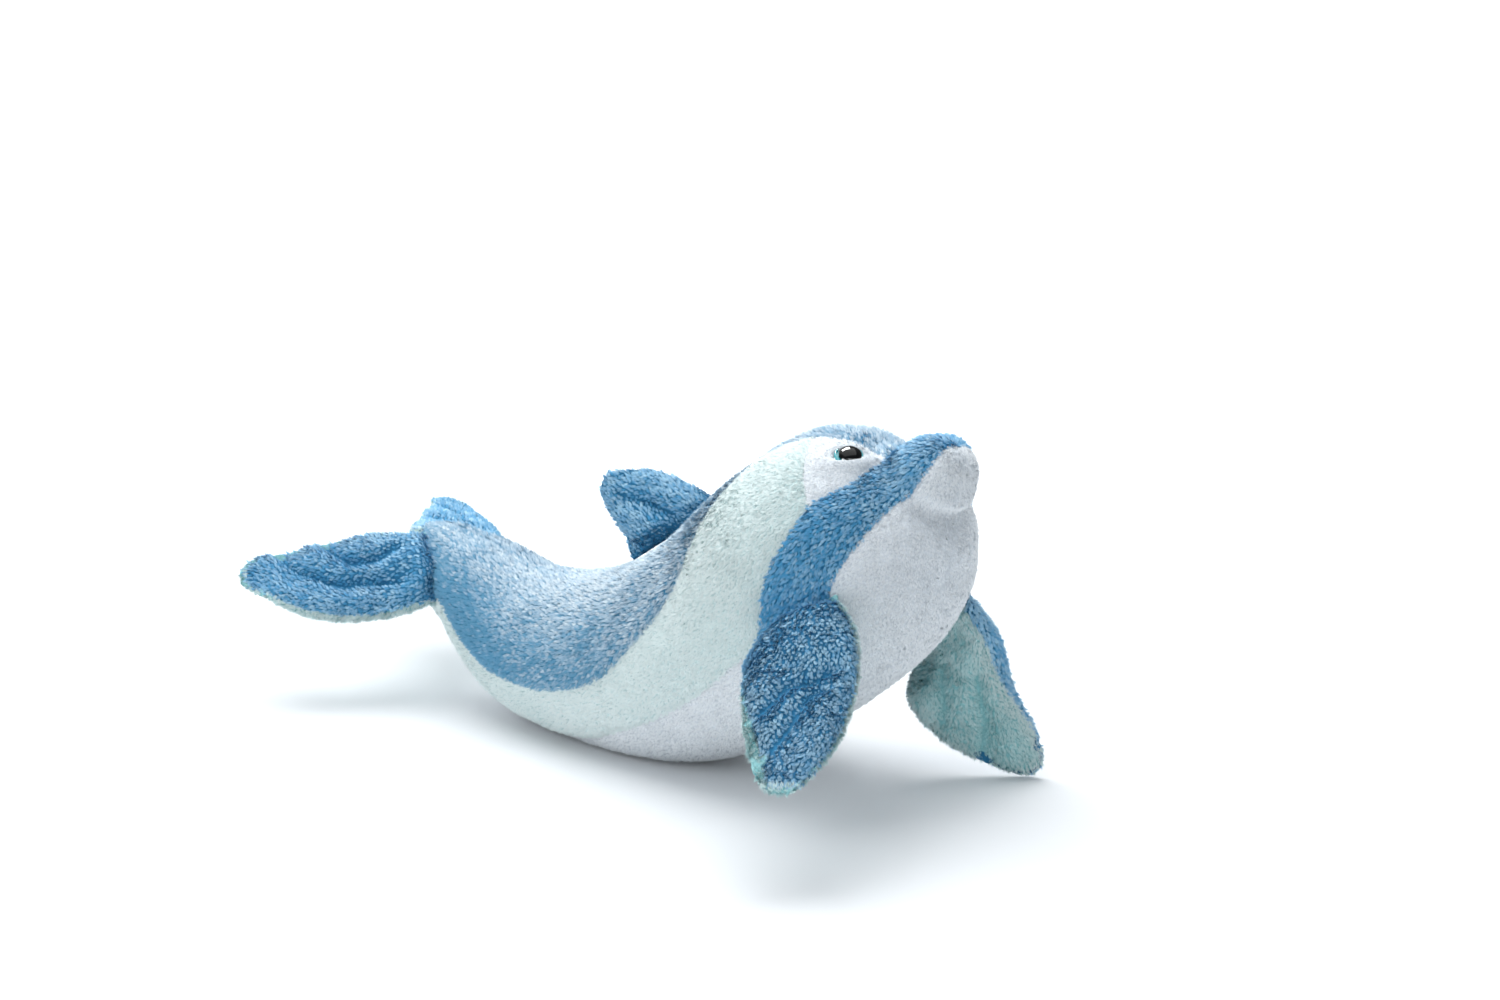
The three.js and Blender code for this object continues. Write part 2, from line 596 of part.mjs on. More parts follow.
// Back fin
const finHem = hemLine(FIN.hem, LEFT);
const finChord = finHem.axis.clone().negate();
const finGrid = limbGrids(FIN, finHem, finHem.outward, finChord, 0);
addLimb('back_fin', finGrid, { near: 'right', nearColour: COLOURS.fin, far: 'left', farColour: COLOURS.fin });

export default dolphin;
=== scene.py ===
# Plush dolphin: stuffed cloth panels with a short tufted pile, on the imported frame.
import json

import bpy
import numpy as np
from mathutils import Matrix, Vector


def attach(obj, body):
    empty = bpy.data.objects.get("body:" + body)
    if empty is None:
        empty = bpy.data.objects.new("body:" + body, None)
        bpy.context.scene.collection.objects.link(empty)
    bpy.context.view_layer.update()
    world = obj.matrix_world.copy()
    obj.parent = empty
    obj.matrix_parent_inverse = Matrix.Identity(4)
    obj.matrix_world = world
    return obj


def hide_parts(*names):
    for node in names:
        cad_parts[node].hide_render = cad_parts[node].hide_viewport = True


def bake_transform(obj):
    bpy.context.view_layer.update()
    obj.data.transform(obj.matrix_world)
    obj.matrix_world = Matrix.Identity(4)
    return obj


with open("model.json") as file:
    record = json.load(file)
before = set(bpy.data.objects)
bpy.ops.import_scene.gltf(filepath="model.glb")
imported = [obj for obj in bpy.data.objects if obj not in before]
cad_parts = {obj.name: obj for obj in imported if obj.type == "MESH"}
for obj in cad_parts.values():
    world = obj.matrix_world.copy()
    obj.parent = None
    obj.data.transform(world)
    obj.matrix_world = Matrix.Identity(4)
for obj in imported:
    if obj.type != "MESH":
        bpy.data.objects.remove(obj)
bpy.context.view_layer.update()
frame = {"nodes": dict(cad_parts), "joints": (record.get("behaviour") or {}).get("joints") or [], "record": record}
MM, MM_PER_M = 0.001, 1000
SEED = 7

# The stuffed form, in millimetres

HEM = 2.2
SECTIONS = np.array((
    # x, z, reach up, reach down, breadth, share by which the brow narrows
    (-122, 72, 9, 9, 2, 0), (-115, 69, 14, 14.5, 8, 0), (-105, 64.8, 18, 19, 15.6, 0),
    (-87, 55.5, 24, 26, 24, 0), (-54, 40.5, 30.5, 36.1, 33, 0), (-16, 36, 38, 40.1, 39, 0),
    (25, 43.5, 44, 47, 45, 0), (64, 62.5, 49, 51, 50, 0), (95, 83.5, 54, 53, 53, 0),
    (118, 102.5, 54, 52, 52, 0.04), (134, 116.5, 49.5, 47.5, 48, 0.1), (145, 126, 41.5, 41, 41, 0.16),
    (153, 133, 29.5, 31.5, 31, 0.16), (159.5, 140, 20, 19.5, 21, 0.1), (166, 146.5, 17, 14.5, 17, 0.02),
    (172.4, 151.6, 11.2, 10, 12, 0), (176, 154, 3, 3, 3, 0)))
NOSE = len(SECTIONS) - 1
BACK_SEAM = ((0, 100), (1.4, 102), (2.8, 104), (3.8, 109), (4.6, 104), (5.2, 98), (5.8, 90.5), (6.4, 80),
             (7, 71.5), (7.5, 62), (8, 39), (8.6, 25), (9.4, 24), (10.35, 27), (11.1, 31), (11.7, 30.5),
             (12.3, 32), (12.75, 42), (12.95, 36))
STRIPE_SEAM = ((0, 148), (2.1, 150), (4, 149.5), (4.6, 146), (5.2, 138.5), (5.8, 124), (6.4, 119),
               (7, 117.5), (7.5, 116.5), (8.25, 115.5), (8.8, 101), (9.4, 92.5), (10, 85.5), (10.35, 80.5))
PATCH_SEAM = ((10.35, 80.5), (11.1, 78), (11.7, 73), (12.3, 60), (12.75, 48))
CHIN_SEAM = ((8.25, 119.5), (8.8, 128), (9.4, 128), (10, 119), (10.35, 116.5), (11.1, 112), (12.3, 107),
             (13, 108), (13.5, 106), (14, 102.5), (14.5, 92), (15, 73), (15.4, 37), (15.62, 7))
BAND_END, PATCH_END, PATCH_TIP, BEAK_CREASE, BEAK_START, BEAK_TOP_END, NOSE_END = (
    8.25, 10.35, 12.75, 12.95, 13.0, 15.62, 15.99)
EYE_STATION, EYE_ANGLE = 11.6, 51.5
SIDES = (("right", -1), ("left", 1))
# Chest and head roll towards the toy's left: degrees, and the stations between which the roll grows.
ROLL, ROLL_START, ROLL_END = 13, 5.5, 9.5
# On the floor the body flattens: from which height, how softly, and how far it settles.
FLAT_START, FLAT_SOFTNESS, SETTLE = 6, 6.6, 0.5
LEAST_LAYER, SKIN_STEP = 0.1, 0.01


def unit(v):
    v = np.asarray(v, float)
    return v / np.maximum(np.linalg.norm(v, axis=-1, keepdims=True), 1e-12)


def smoothstep(x, low, high):
    t = np.clip((x - low) / (high - low), 0, 1)
    return t * t * (3 - 2 * t)


def smooth_curve(pairs, at, column=1):
    """A smooth curve through given pairs."""
    pairs = np.asarray(pairs, float)
    x, y = pairs[:, 0], pairs[:, column]
    last = len(x) - 1
    k = np.arange(last + 1)
    low, high = np.maximum(k - 1, 0), np.minimum(k + 1, last)
    slope = (y[high] - y[low]) / (x[high] - x[low])
    i = np.clip(np.searchsorted(x, at, "left"), 1, last) - 1
    span = x[i + 1] - x[i]
    t = np.clip((at - x[i]) / span, 0, 1)
    rise = y[i + 1] - y[i]
    a, b = slope[i] * span - rise, rise - slope[i + 1] * span
    return y[i] + t * rise + t * (1 - t) * ((1 - t) * a + t * b)


def section(column, station, slope=False):
    """One measure of the body's sections at any station from the tail, 0, to the nose."""
    p = SECTIONS[:, column]
    k = np.clip(np.floor(station).astype(int), 0, NOSE - 1)
    f = station - k
    p0, p1, p2, p3 = p[np.maximum(k - 1, 0)], p[k], p[k + 1], p[np.minimum(k + 2, NOSE)]
    a, b = (p2 - p0) / 2, (p3 - p1) / 2
    c3, c2 = 2 * p1 - 2 * p2 + a + b, -3 * p1 + 3 * p2 - 2 * a - b
    return 3 * c3 * f ** 2 + 2 * c2 * f + a if slope else ((c3 * f + c2) * f + a) * f + p1


def skin(station, angle, depth=0.0):
    """A point of the body's skin, or of a layer that lies deeper. The angle runs down from the ridge."""
    s = np.clip(station, 0, NOSE)
    dx, dz = section(0, s, True), section(1, s, True)
    run = np.hypot(dx, dz)
    dx, dz = dx / run, dz / run
    turn = angle + np.radians(ROLL) * smoothstep(s, ROLL_START, ROLL_END)
    height = np.cos(turn)
    past = np.clip((s - BEAK_TOP_END) / (NOSE - BEAK_TOP_END), 0, 1)
    closing = np.sqrt(1 - past ** 2)
    reach = np.where(height > 0, section(2, s), section(3, s)) * closing
    breadth = section(4, s) * (1 - section(5, s) * (1 + np.cos(angle)) / 2) * closing
    rise = height * np.maximum(reach - depth, LEAST_LAYER * reach)
    across = np.sin(turn) * np.maximum(breadth - depth, LEAST_LAYER * breadth)
    full = section(1, s) + dx * height * reach
    below = np.maximum(FLAT_START - full, 0)
    flattened = full + below - FLAT_SOFTNESS * np.tanh(below / FLAT_SOFTNESS) - SETTLE
    z = flattened + dx * (rise - height * reach)
    return np.stack((section(0, s) - dz * rise, across, z), -1)


def skin_normal(station, angle):
    e = SKIN_STEP
    station, angle = np.asarray(station, float), np.asarray(angle, float)
    ahead = skin(station + e, angle) - skin(station - e, angle)
    around = skin(station, angle + e) - skin(station, angle - e)
    return unit(np.cross(ahead, around))


# The body's panels: two seams each, paired along their lengths

STEPS_PER_STATION, LEAST_STEPS, CREASE_STEPS = 24, 6, 12
LENGTH_STEPS, WIDTH_ROWS, WIDTH_COLUMNS = 60, 40, 24


def seam_path(side, *runs):
    """Stations and signed angles along an edge. A run is a curve of degrees with its two end stations."""
    stations, angles = [], []
    for curve, first, last in runs:
        s = np.linspace(first, last, max(int(abs(last - first) * STEPS_PER_STATION), LEAST_STEPS))
        stations.append(s)
        angles.append(smooth_curve(curve, s) if len(curve) > 1 else np.full_like(s, curve[0]))
    return np.concatenate(stations), side * np.radians(np.concatenate(angles))


def at_share(path, share):
    p = skin(*path)
    run = np.concatenate(([0], np.cumsum(np.linalg.norm(np.diff(p, axis=0), axis=1))))
    return np.interp(share * run[-1], run, path[0]), np.interp(share * run[-1], run, path[1])


class Cloth:
    """A panel of cloth with places u along it and v across it, both from 0 to 1."""

    def measure_widths(self):
        u, v = np.meshgrid(np.linspace(0, 1, WIDTH_ROWS), np.linspace(0, 1, WIDTH_COLUMNS), indexing="ij")
        self.widths = np.linalg.norm(np.diff(self.point(u, v), axis=1), axis=2).sum(1)

    def width(self, u):
        return np.interp(u, np.linspace(0, 1, WIDTH_ROWS), self.widths)


class BodyPanel(Cloth):
    """Cloth between an upper and a lower seam. u runs along the body from the tail, v from seam to seam."""

    def __init__(self, upper, lower):
        self.upper, self.lower = upper, lower
        rows = self.point(np.linspace(0, 1, LENGTH_STEPS), np.full(LENGTH_STEPS, 0.5))
        self.length = np.linalg.norm(np.diff(rows, axis=0), axis=1).sum()
        self.measure_widths()

    def place(self, u, v):
        (s0, a0), (s1, a1) = at_share(self.upper, u), at_share(self.lower, u)
        return s0 + (s1 - s0) * v, a0 + (a1 - a0) * v

    def point(self, u, v, depth=0.0):
        return skin(*self.place(u, v), depth)

    def outward(self, u, v):
        return skin_normal(*self.place(u, v))


def eye_seat(side):
    """Where a safety eye sits: its place, and the ways forward, across and out."""
    angle = side * np.radians(EYE_ANGLE)
    seat, out = skin(np.array(EYE_STATION), np.array(angle)), skin_normal(EYE_STATION, angle)
    ahead = skin(np.array(EYE_STATION + SKIN_STEP), np.array(angle)) - seat
    ahead = unit(ahead - out * (ahead @ out))
    return seat, ahead, np.cross(out, ahead), out


# The opening between an eye's lids, in millimetres from the eye's axis, and how the plush swells round it.
LIDS = dict(middle=-0.4, half_length=5.9, above=3.2, below=3.5,
            swell=2.1, upright=1.2, dip=0.6, breadth=1.15)


def eye_opening(p, side):
    """Points against an eye's opening: 1 on its edge, how upright they lie, and the way to its middle."""
    seat, ahead, _, out = eye_seat(side)
    low = np.array((0, 0, -1.0))
    low = unit(low - out * (low @ out))
    forward = np.cross(low, out)
    forward = forward * np.sign(forward @ ahead)
    away = p - seat
    a = (away @ forward - LIDS["middle"]) / LIDS["half_length"]
    b = away @ low
    b = b / np.where(b > 0, LIDS["below"], LIDS["above"])
    q = np.hypot(a, b)
    inward = -unit(forward * a[:, None] * LIDS["half_length"] + low * b[:, None] * LIDS["below"])
    return q, (b / np.maximum(q, 1e-6)) ** 2, inward


def eyelids(p, side):
    """The plush swells to lids that lap over an eye's rim, and dips under its cup."""
    q, upright, _ = eye_opening(p, side)
    fade = np.exp(-(np.maximum(q - LIDS["breadth"], 0) / LIDS["breadth"]) ** 2)
    rise = (LIDS["swell"] + LIDS["upright"] * upright) * smoothstep(q, 0.84, 1.1) * fade
    rise = rise - LIDS["dip"] * smoothstep(q, 1.0, 0.8)
    return eye_seat(side)[3] * rise[:, None]


# The dart up the throat, the fold under the jaw and the jaw's own swelling: stations, and millimetres.
DART = dict(begins=11.1, full=11.7, fades=12.8, ends=13.0, depth=1.3, width=2.2)
JAW_FOLD = dict(station=13.0, length=0.4, depth=4.6, reach=(1.35, 0.7))
JAW = dict(station=14.0, length=0.6, depth=1.6, reach=(1.3, 0.4))


def throat_dart(station, angle):
    """Millimetres from the dart up the throat, and how far along it the dart is sewn."""
    across = np.abs(angle - np.pi) * section(3, np.clip(station, 0, NOSE))
    begun = smoothstep(station, DART["begins"], DART["full"])
    return across, begun * smoothstep(station, DART["ends"], DART["fades"])


def across_chin(form, station, from_middle):
    """A form that runs across the chin and fades towards the cheeks."""
    along = np.exp(-((station - form["station"]) / form["length"]) ** 2)
    return form["depth"] * along * smoothstep(from_middle, *form["reach"])


def chin_folds(station, angle):
    """Depth of the dart up the throat and of the fold under the lower jaw."""
    across, sewn = throat_dart(station, angle)
    from_middle = np.abs(angle - np.pi)
    fold, jaw = (across_chin(form, station, from_middle) for form in (JAW_FOLD, JAW))
    return DART["depth"] * np.exp(-(across / DART["width"]) ** 2) * sewn + fold - jaw


def body_panels():
    panels = {}
    for word, side in SIDES:
        ridge = seam_path(side, ((0,), 0, BEAK_CREASE))
        back = seam_path(side, (BACK_SEAM, 0, BEAK_CREASE))
        panels["back_panel_" + word] = BodyPanel(ridge, back)
        panels["side_stripe_" + word] = BodyPanel(
            seam_path(side, (BACK_SEAM, 0, PATCH_END)), seam_path(side, (STRIPE_SEAM, 0, PATCH_END)))
        crease = (np.linspace(BEAK_CREASE, BEAK_START, CREASE_STEPS),
                  side * np.radians(np.linspace(BACK_SEAM[-1][1], 0, CREASE_STEPS)))
        low = seam_path(side, (STRIPE_SEAM, BAND_END, PATCH_END), (PATCH_SEAM, PATCH_END, PATCH_TIP),
                        (BACK_SEAM, PATCH_TIP, BEAK_CREASE))
        beak = seam_path(side, ((0,), BEAK_START, BEAK_TOP_END))
        upper = tuple(np.concatenate(part) for part in zip(low, crease, beak))
        panels["face_band_" + word] = BodyPanel(upper, seam_path(side, (CHIN_SEAM, BAND_END, BEAK_TOP_END)))
        panels["eye_patch_" + word] = BodyPanel(
            seam_path(side, (BACK_SEAM, PATCH_END, PATCH_TIP)),
            seam_path(side, (PATCH_SEAM, PATCH_END, PATCH_TIP)))
    left = seam_path(1, (STRIPE_SEAM, 0, BAND_END), (CHIN_SEAM, BAND_END, BEAK_TOP_END),
                     ((0,), BEAK_TOP_END, NOSE_END))
    panels["belly_panel"] = BodyPanel(left, (left[0], 2 * np.pi - left[1]))
    return panels


# The limbs: a blade that leaves its hem along a way, with two cloths that meet round its rim

# A limb's tip lies a little past its length, and its outline rounds off from TIP_START.
TIP, TIP_START, TIP_POWER, TIP_LEAST = 1.035, 0.84, 2.4, 0.004
# The thickness grows from the hem by GROWTH for each millimetre, and stays above LEAST_THICK.
GROWTH, LEAST_THICK = 1.1, 2.5
# A seated root leaves its seam between two shares of the length, and its seam lies under the pile.
SEAT_LEAVES, SEAT_ENDS, SEAT_DEPTH = 0.02, 0.24, 0.6
# Profile rows: share of the length, half width, and how far the middle drifts from the way.
FLIPPER = dict(length=87, thick=7, settle=0.5, profile=(
    (0, 15, -2.5), (0.1, 20.3, -3), (0.2, 23, -2.1), (0.35, 22.8, -0.9), (0.5, 21.8, -0.5), (0.7, 19, 0.4),
    (0.8, 16.2, 0.8), (0.9, 12.4, 0.9), (1, 10.2, 0.9)))
FLUKE = dict(length=77, thick=8, settle=0.14, profile=(
    (0, 17, 0), (0.06, 21, 0), (0.14, 23, 0), (0.3, 22.5, 0), (0.5, 20.8, 0.4), (0.6, 19.6, 2.2),
    (0.7, 17, 3), (0.8, 14, 6), (0.9, 11.6, 9.8), (1, 8.5, 11)))
FIN = dict(length=35, thick=7, settle=0.5, profile=(
    (0, 26.5, -1), (0.2, 23, 0.3), (0.4, 20.4, 3.6), (0.6, 18, 7.5), (0.8, 13.8, 11.9), (0.9, 10, 15.2),
    (1, 7, 17.2)))
# Rows of stitches through a limb: points as a share of its length and of its half width.
FLIPPER_STITCHES = (((0.373, 0.56), (0.427, 0.21), (0.458, -0.2), (0.538, -0.44), (0.652, -0.88)),
                    ((0.466, 0.46), (0.533, 0.17), (0.706, -0.12), (0.828, -0.52), (0.873, -0.84)))
FLIPPER_LEFT_STITCHES = (((0.264, -0.22), (0.367, -0.29), (0.482, -0.37), (0.609, -0.66)),
                         ((0.402, 0.4), (0.5, 0.33), (0.609, 0.22), (0.708, -0.03), (0.875, -0.84)))
FLUKE_STITCHES = (
    ((0.505, 0.95), (0.451, 0.64), (0.369, 0.33), (0.281, 0.27), (0.209, 0.28), (0.137, 0.52)),
    ((0.779, 0.95), (0.718, 0.4), (0.595, 0.03), (0.465, -0.17), (0.307, -0.26), (0.153, -0.35)))
FIN_STITCHES = (((0.697, 0.32), (0.548, 0.12), (0.416, -0.08), (0.273, -0.15), (0.136, -0.24)),)
# Soft folds in the same measures, and dents with a radius in millimetres and a share of the thickness.
FLIPPER_LEFT_FOLDS = (
    ((0.205, -0.74), (0.224, -0.43), (0.266, -0.13), (0.362, 0.08), (0.399, 0.43), (0.389, 0.69)),)
FLIPPER_DENTS = ((0.36, -0.16, 10, 0.42),)
# The seam of a fluke on the side of the tail: share of the half width, station and angle.
FLUKE_SEAT = ((-1, 2.8, 112), (0, 2.15, 82), (1, 0.62, 57))
FLUKE_HUG = 2
FIN_STATION = 6.525
# How each limb leaves the body, in degrees, and how its two cloths share the rim. For each edge a wrap gives
# the degrees by which the blue cloth goes round it, at the root and near the tip. Below none, the mint cloth
# is turned over that edge. The fold turns it over the tip, in millimetres.
FLIPPER_POSES = (
    dict(word="right", side=-1, droop=37, sweep=22, twist=-25, bow=2, reach=1, stitches=FLIPPER_STITCHES,
         wraps=((-2, -48), (-12, -18)), folds=(), dents=FLIPPER_DENTS, fold=4),
    dict(word="left", side=1, droop=72, sweep=15, twist=-40, bow=-12.6, reach=0.93,
         stitches=FLIPPER_LEFT_STITCHES, wraps=((-8, -14), (38, 14)), folds=FLIPPER_LEFT_FOLDS,
         dents=(), fold=0))
FLUKE_POSES = (dict(word="right", side=-1, spread=50, rise=-7, twist=-20),
               dict(word="left", side=1, spread=56, rise=2, twist=0))
FLUKE_WRAPS, FLUKE_FOLD, NO_WRAPS = ((-20, -30), (-4, -8)), 3, ((0, 0), (0, 0))


def turned_about(v, axis, angle):
    along = axis * np.dot(axis, v)
    return v * np.cos(angle) + np.cross(axis, v) * np.sin(angle) + along * (1 - np.cos(angle))


class Limb:
    """A blade that runs out from its hem along a way, and is twisted about that way."""

    def __init__(self, shape, origin, chord, way, twist, stitches, wraps, bow=0.0, reach=1.0, folds=(),
                 dents=(), hug=0.0, seat=None, fold=0.0):
        self.shape, self.length, self.bow, self.stitches = shape, shape["length"] * reach, bow, stitches
        self.wraps, self.folds, self.dents, self.hug, self.seat = wraps, folds, dents, hug, seat
        self.fold = fold / self.length
        self.origin, self.chord, self.way = np.asarray(origin, float), unit(chord), unit(way)
        blade = unit(self.chord - self.way * (self.chord @ self.way))
        self.blade = turned_about(blade, self.way, np.radians(twist))
        if seat is not None:
            self.chord = unit(self.seam(1.0) - self.seam(-1.0))

    def seam(self, c):
        """A point of the seam on the body that a broad root is sewn along."""
        rows, side = self.seat
        c = np.clip(c, -1, 1)
        return skin(smooth_curve(rows, c), side * np.radians(smooth_curve(rows, c, 2)), SEAT_DEPTH)

    def at(self, share, c):
        """The middle of the blade, the way through its thickness, its half thickness and its half width."""
        s = np.clip(share, 0, 1)
        out = share * self.length
        past = np.clip((share - TIP_START) / (TIP - TIP_START), 0, 1)
        rounding = np.sqrt(np.maximum(1 - past ** TIP_POWER, TIP_LEAST))
        half = smooth_curve(self.shape["profile"], s) * rounding
        drift = smooth_curve(self.shape["profile"], s, 2) + self.bow * np.sin(np.pi * s)
        settled = smoothstep(s, 0, self.shape["settle"])[..., None]
        across = unit(self.chord + (self.blade - self.chord) * settled)
        through = unit(np.cross(np.broadcast_to(self.way, across.shape), across))
        swell = np.sin(np.pi * np.minimum(0.5 + 0.5 * s, 1) ** 0.8) ** 0.5
        grow = np.minimum(1, (HEM + GROWTH * s * self.length) / self.shape["thick"])
        thick = np.maximum(self.shape["thick"] * swell * grow, LEAST_THICK) * rounding
        thick = np.where(out < 0, np.sqrt(np.maximum(HEM ** 2 - np.minimum(out, 0) ** 2, 0.01)), thick)
        middle = self.origin + self.way * out[..., None] + across * (drift + c * half)[..., None]
        if self.seat is not None:
            sewn = smoothstep(share, SEAT_ENDS, SEAT_LEAVES)[..., None]
            middle = middle + (self.seam(c) + self.way * out[..., None] - middle) * sewn
        return middle, through, thick, half


def crown(c):
    """The rounding of a limb's section from its middle to its edges."""
    return np.maximum(1 - np.abs(c) ** 2.5, 0) ** 0.7


# Along a limb the wraps change from the root's to the tip's between these shares.
WRAP_START, WRAP_END = 0.35, 0.85
# How stitches and folds pull the cloth in: share of the thickness, reach in millimetres, and sharpness.
STITCH_SINK, FOLD_SINK = (0.9, 4.0, 1.3), (0.5, 4.5, 1.5)
ROW_STEPS, FAR_AWAY = 80, 99.0
LEAST_COVER = 0.3


class LimbCloth(Cloth):
    """One of a limb's two cloths, which may reach over the rim. u runs from hem to tip, v across."""

    def __init__(self, limb, face, blue_face):
        self.limb, self.face, self.own = limb, face, face * blue_face
        self.length = (TIP + HEM / limb.length) * limb.length
        self.measure_widths()

    def spot(self, u, v):
        """Share of the length and of the half width, and -1 where the cloth is on the other face."""
        tipward = smoothstep(u, WRAP_START, WRAP_END)
        low, high = (self.own * np.radians(root + (tip - root) * tipward) for root, tip in self.limb.wraps)
        turn = -np.pi / 2 - low + (np.pi + low + high) * v
        c = np.sin(turn)
        root = -(0.99 * HEM + self.limb.hug * np.abs(c) ** 3) / self.limb.length
        # The blue cloth stops short of the tip, and the other one is turned over it.
        share = root + (TIP - self.own * self.limb.fold - root) * u
        over = np.where((np.abs(turn) > np.pi / 2) | (share > TIP), -1.0, 1.0)
        return np.where(share > TIP, 2 * TIP - share, share), c, over

    def place(self, u, v):
        return self.spot(np.asarray(u, float), np.asarray(v, float))[:2]

    def point(self, u, v, depth=0.0):
        share, c, over = self.spot(np.asarray(u, float), np.asarray(v, float))
        middle, through, thick, _ = self.limb.at(share, c)
        height = self.face * over * np.maximum(thick - depth, LEAST_COVER * thick) * crown(c)
        return middle + through * height[..., None]

    def outward(self, u, v):
        share, c, over = self.spot(np.asarray(u, float), np.asarray(v, float))
        return self.limb.at(share, c)[1] * (self.face * over)[..., None]

    def row_distance(self, rows, u, v):
        """Millimetres to the nearest of some rows of stitches or folds."""
        share, c = self.place(u, v)
        half = self.limb.at(share, c)[3]
        best = np.full(share.shape, FAR_AWAY)
        for row in rows:
            numbered = np.column_stack((np.arange(len(row)), row))
            t = np.linspace(0, len(row) - 1, ROW_STEPS)
            at, side = smooth_curve(numbered, t, 1), smooth_curve(numbered, t, 2)
            out = (share[..., None] - at) * self.limb.length
            beside = (c[..., None] - side) * half[..., None]
            best = np.minimum(best, np.hypot(out, beside).min(-1))
        return best

    def hollows(self, u, v):
        """How far stitches, folds and dents pull the cloth in, as a share of the limb's thickness."""
        share, c = self.place(u, v)
        half = self.limb.at(share, c)[3]
        sink = np.zeros(share.shape)
        pulls = ((self.limb.stitches, STITCH_SINK), (self.limb.folds, FOLD_SINK))
        for rows, (depth, width, power) in pulls:
            sink = np.maximum(sink, depth * np.exp(-(self.row_distance(rows, u, v) / width) ** power))
        for at, side, radius, depth in self.limb.dents:
            d = np.hypot((share - at) * self.limb.length, (c - side) * half)
            sink = np.maximum(sink, depth * np.exp(-(d / radius) ** 2))
        return sink


def limb_cloths():
    hems = {j["child"]: (MM_PER_M * np.array(j["pos_m"]), np.array(j["axis"])) for j in frame["joints"]}
    cloths = {}
    for pose in FLIPPER_POSES:
        word, side = pose["word"], pose["side"]
        origin, axis = hems["flipper_" + word]
        droop, sweep = np.radians(pose["droop"]), np.radians(pose["sweep"])
        way = (np.sin(sweep), side * np.cos(droop) * np.cos(sweep), -np.sin(droop) * np.cos(sweep))
        limb = Limb(FLIPPER, origin, axis * side, way, pose["twist"], pose["stitches"], pose["wraps"],
                    pose["bow"], pose["reach"], pose["folds"], pose["dents"], fold=pose["fold"])
        cloths[f"flipper_{word}_outer"] = LimbCloth(limb, -side, -side)
        cloths[f"flipper_{word}_inner"] = LimbCloth(limb, side, -side)
    for pose in FLUKE_POSES:
        word, side = pose["word"], pose["side"]
        origin, axis = hems["fluke_" + word]
        spread, rise = np.radians(pose["spread"]), np.radians(pose["rise"])
        way = (-np.cos(spread) * np.cos(rise), side * np.sin(spread) * np.cos(rise), np.sin(rise))
        limb = Limb(FLUKE, origin, axis * -side, way, pose["twist"], FLUKE_STITCHES, FLUKE_WRAPS,
                    hug=FLUKE_HUG, seat=(FLUKE_SEAT, side), fold=FLUKE_FOLD)
        cloths[f"fluke_{word}_top"] = LimbCloth(limb, side, side)
        cloths[f"fluke_{word}_underside"] = LimbCloth(limb, -side, side)
    origin, axis = hems["back_fin"]
    normal = skin_normal(FIN_STATION, 0.0)
    limb = Limb(FIN, origin, -axis, normal - axis * (normal @ axis), 0, FIN_STITCHES, NO_WRAPS)
    cloths["back_fin_right"] = LimbCloth(limb, 1, 0)
    cloths["back_fin_left"] = LimbCloth(limb, -1, 0)
    return cloths


# Cloth sheets, in millimetres

LIMB_STEP, BODY_STEP = 1.6, 3.2
LEAST_ROWS, LEAST_COLUMNS, ON_EDGE = 8, 6, 1e-4
# A sewn edge is drawn in by a depth, which fades over a distance.
LIMB_EDGE, BODY_EDGE = (0.9, 2.4), (1.3, 3.0)
# The filling can't move cloth this near to stitches, to an eye's opening (1 on its edge) or to the floor.
STITCH_HELD, LIDS_HELD, FLOOR_HELD, FLOOR_CLEAR = 1.1, 1.3, 1.0, 0.9


def side_of(name):
    return 1 if "left" in name else -1


def deselect():
    if bpy.context.object and bpy.context.object.mode != "OBJECT":
        bpy.ops.object.mode_set(mode="OBJECT")
    bpy.ops.object.select_all(action="DESELECT")


def activate(obj):
    deselect()
    obj.select_set(True)
    bpy.context.view_layer.objects.active = obj


def apply_modifier(obj, name):
    activate(obj)
    bpy.ops.object.modifier_apply(modifier=name)


def corners_of(mesh):
    co = np.empty(len(mesh.vertices) * 3, np.float32)
    mesh.vertices.foreach_get("co", co)
    return co.reshape(-1, 3).astype(float)


def set_corners(mesh, co):
    mesh.vertices.foreach_set("co", np.asarray(co, np.float32).ravel())
    mesh.update()


def drawn_in(gap, depth, reach):
    return depth * np.exp(-(gap / reach) ** 2)


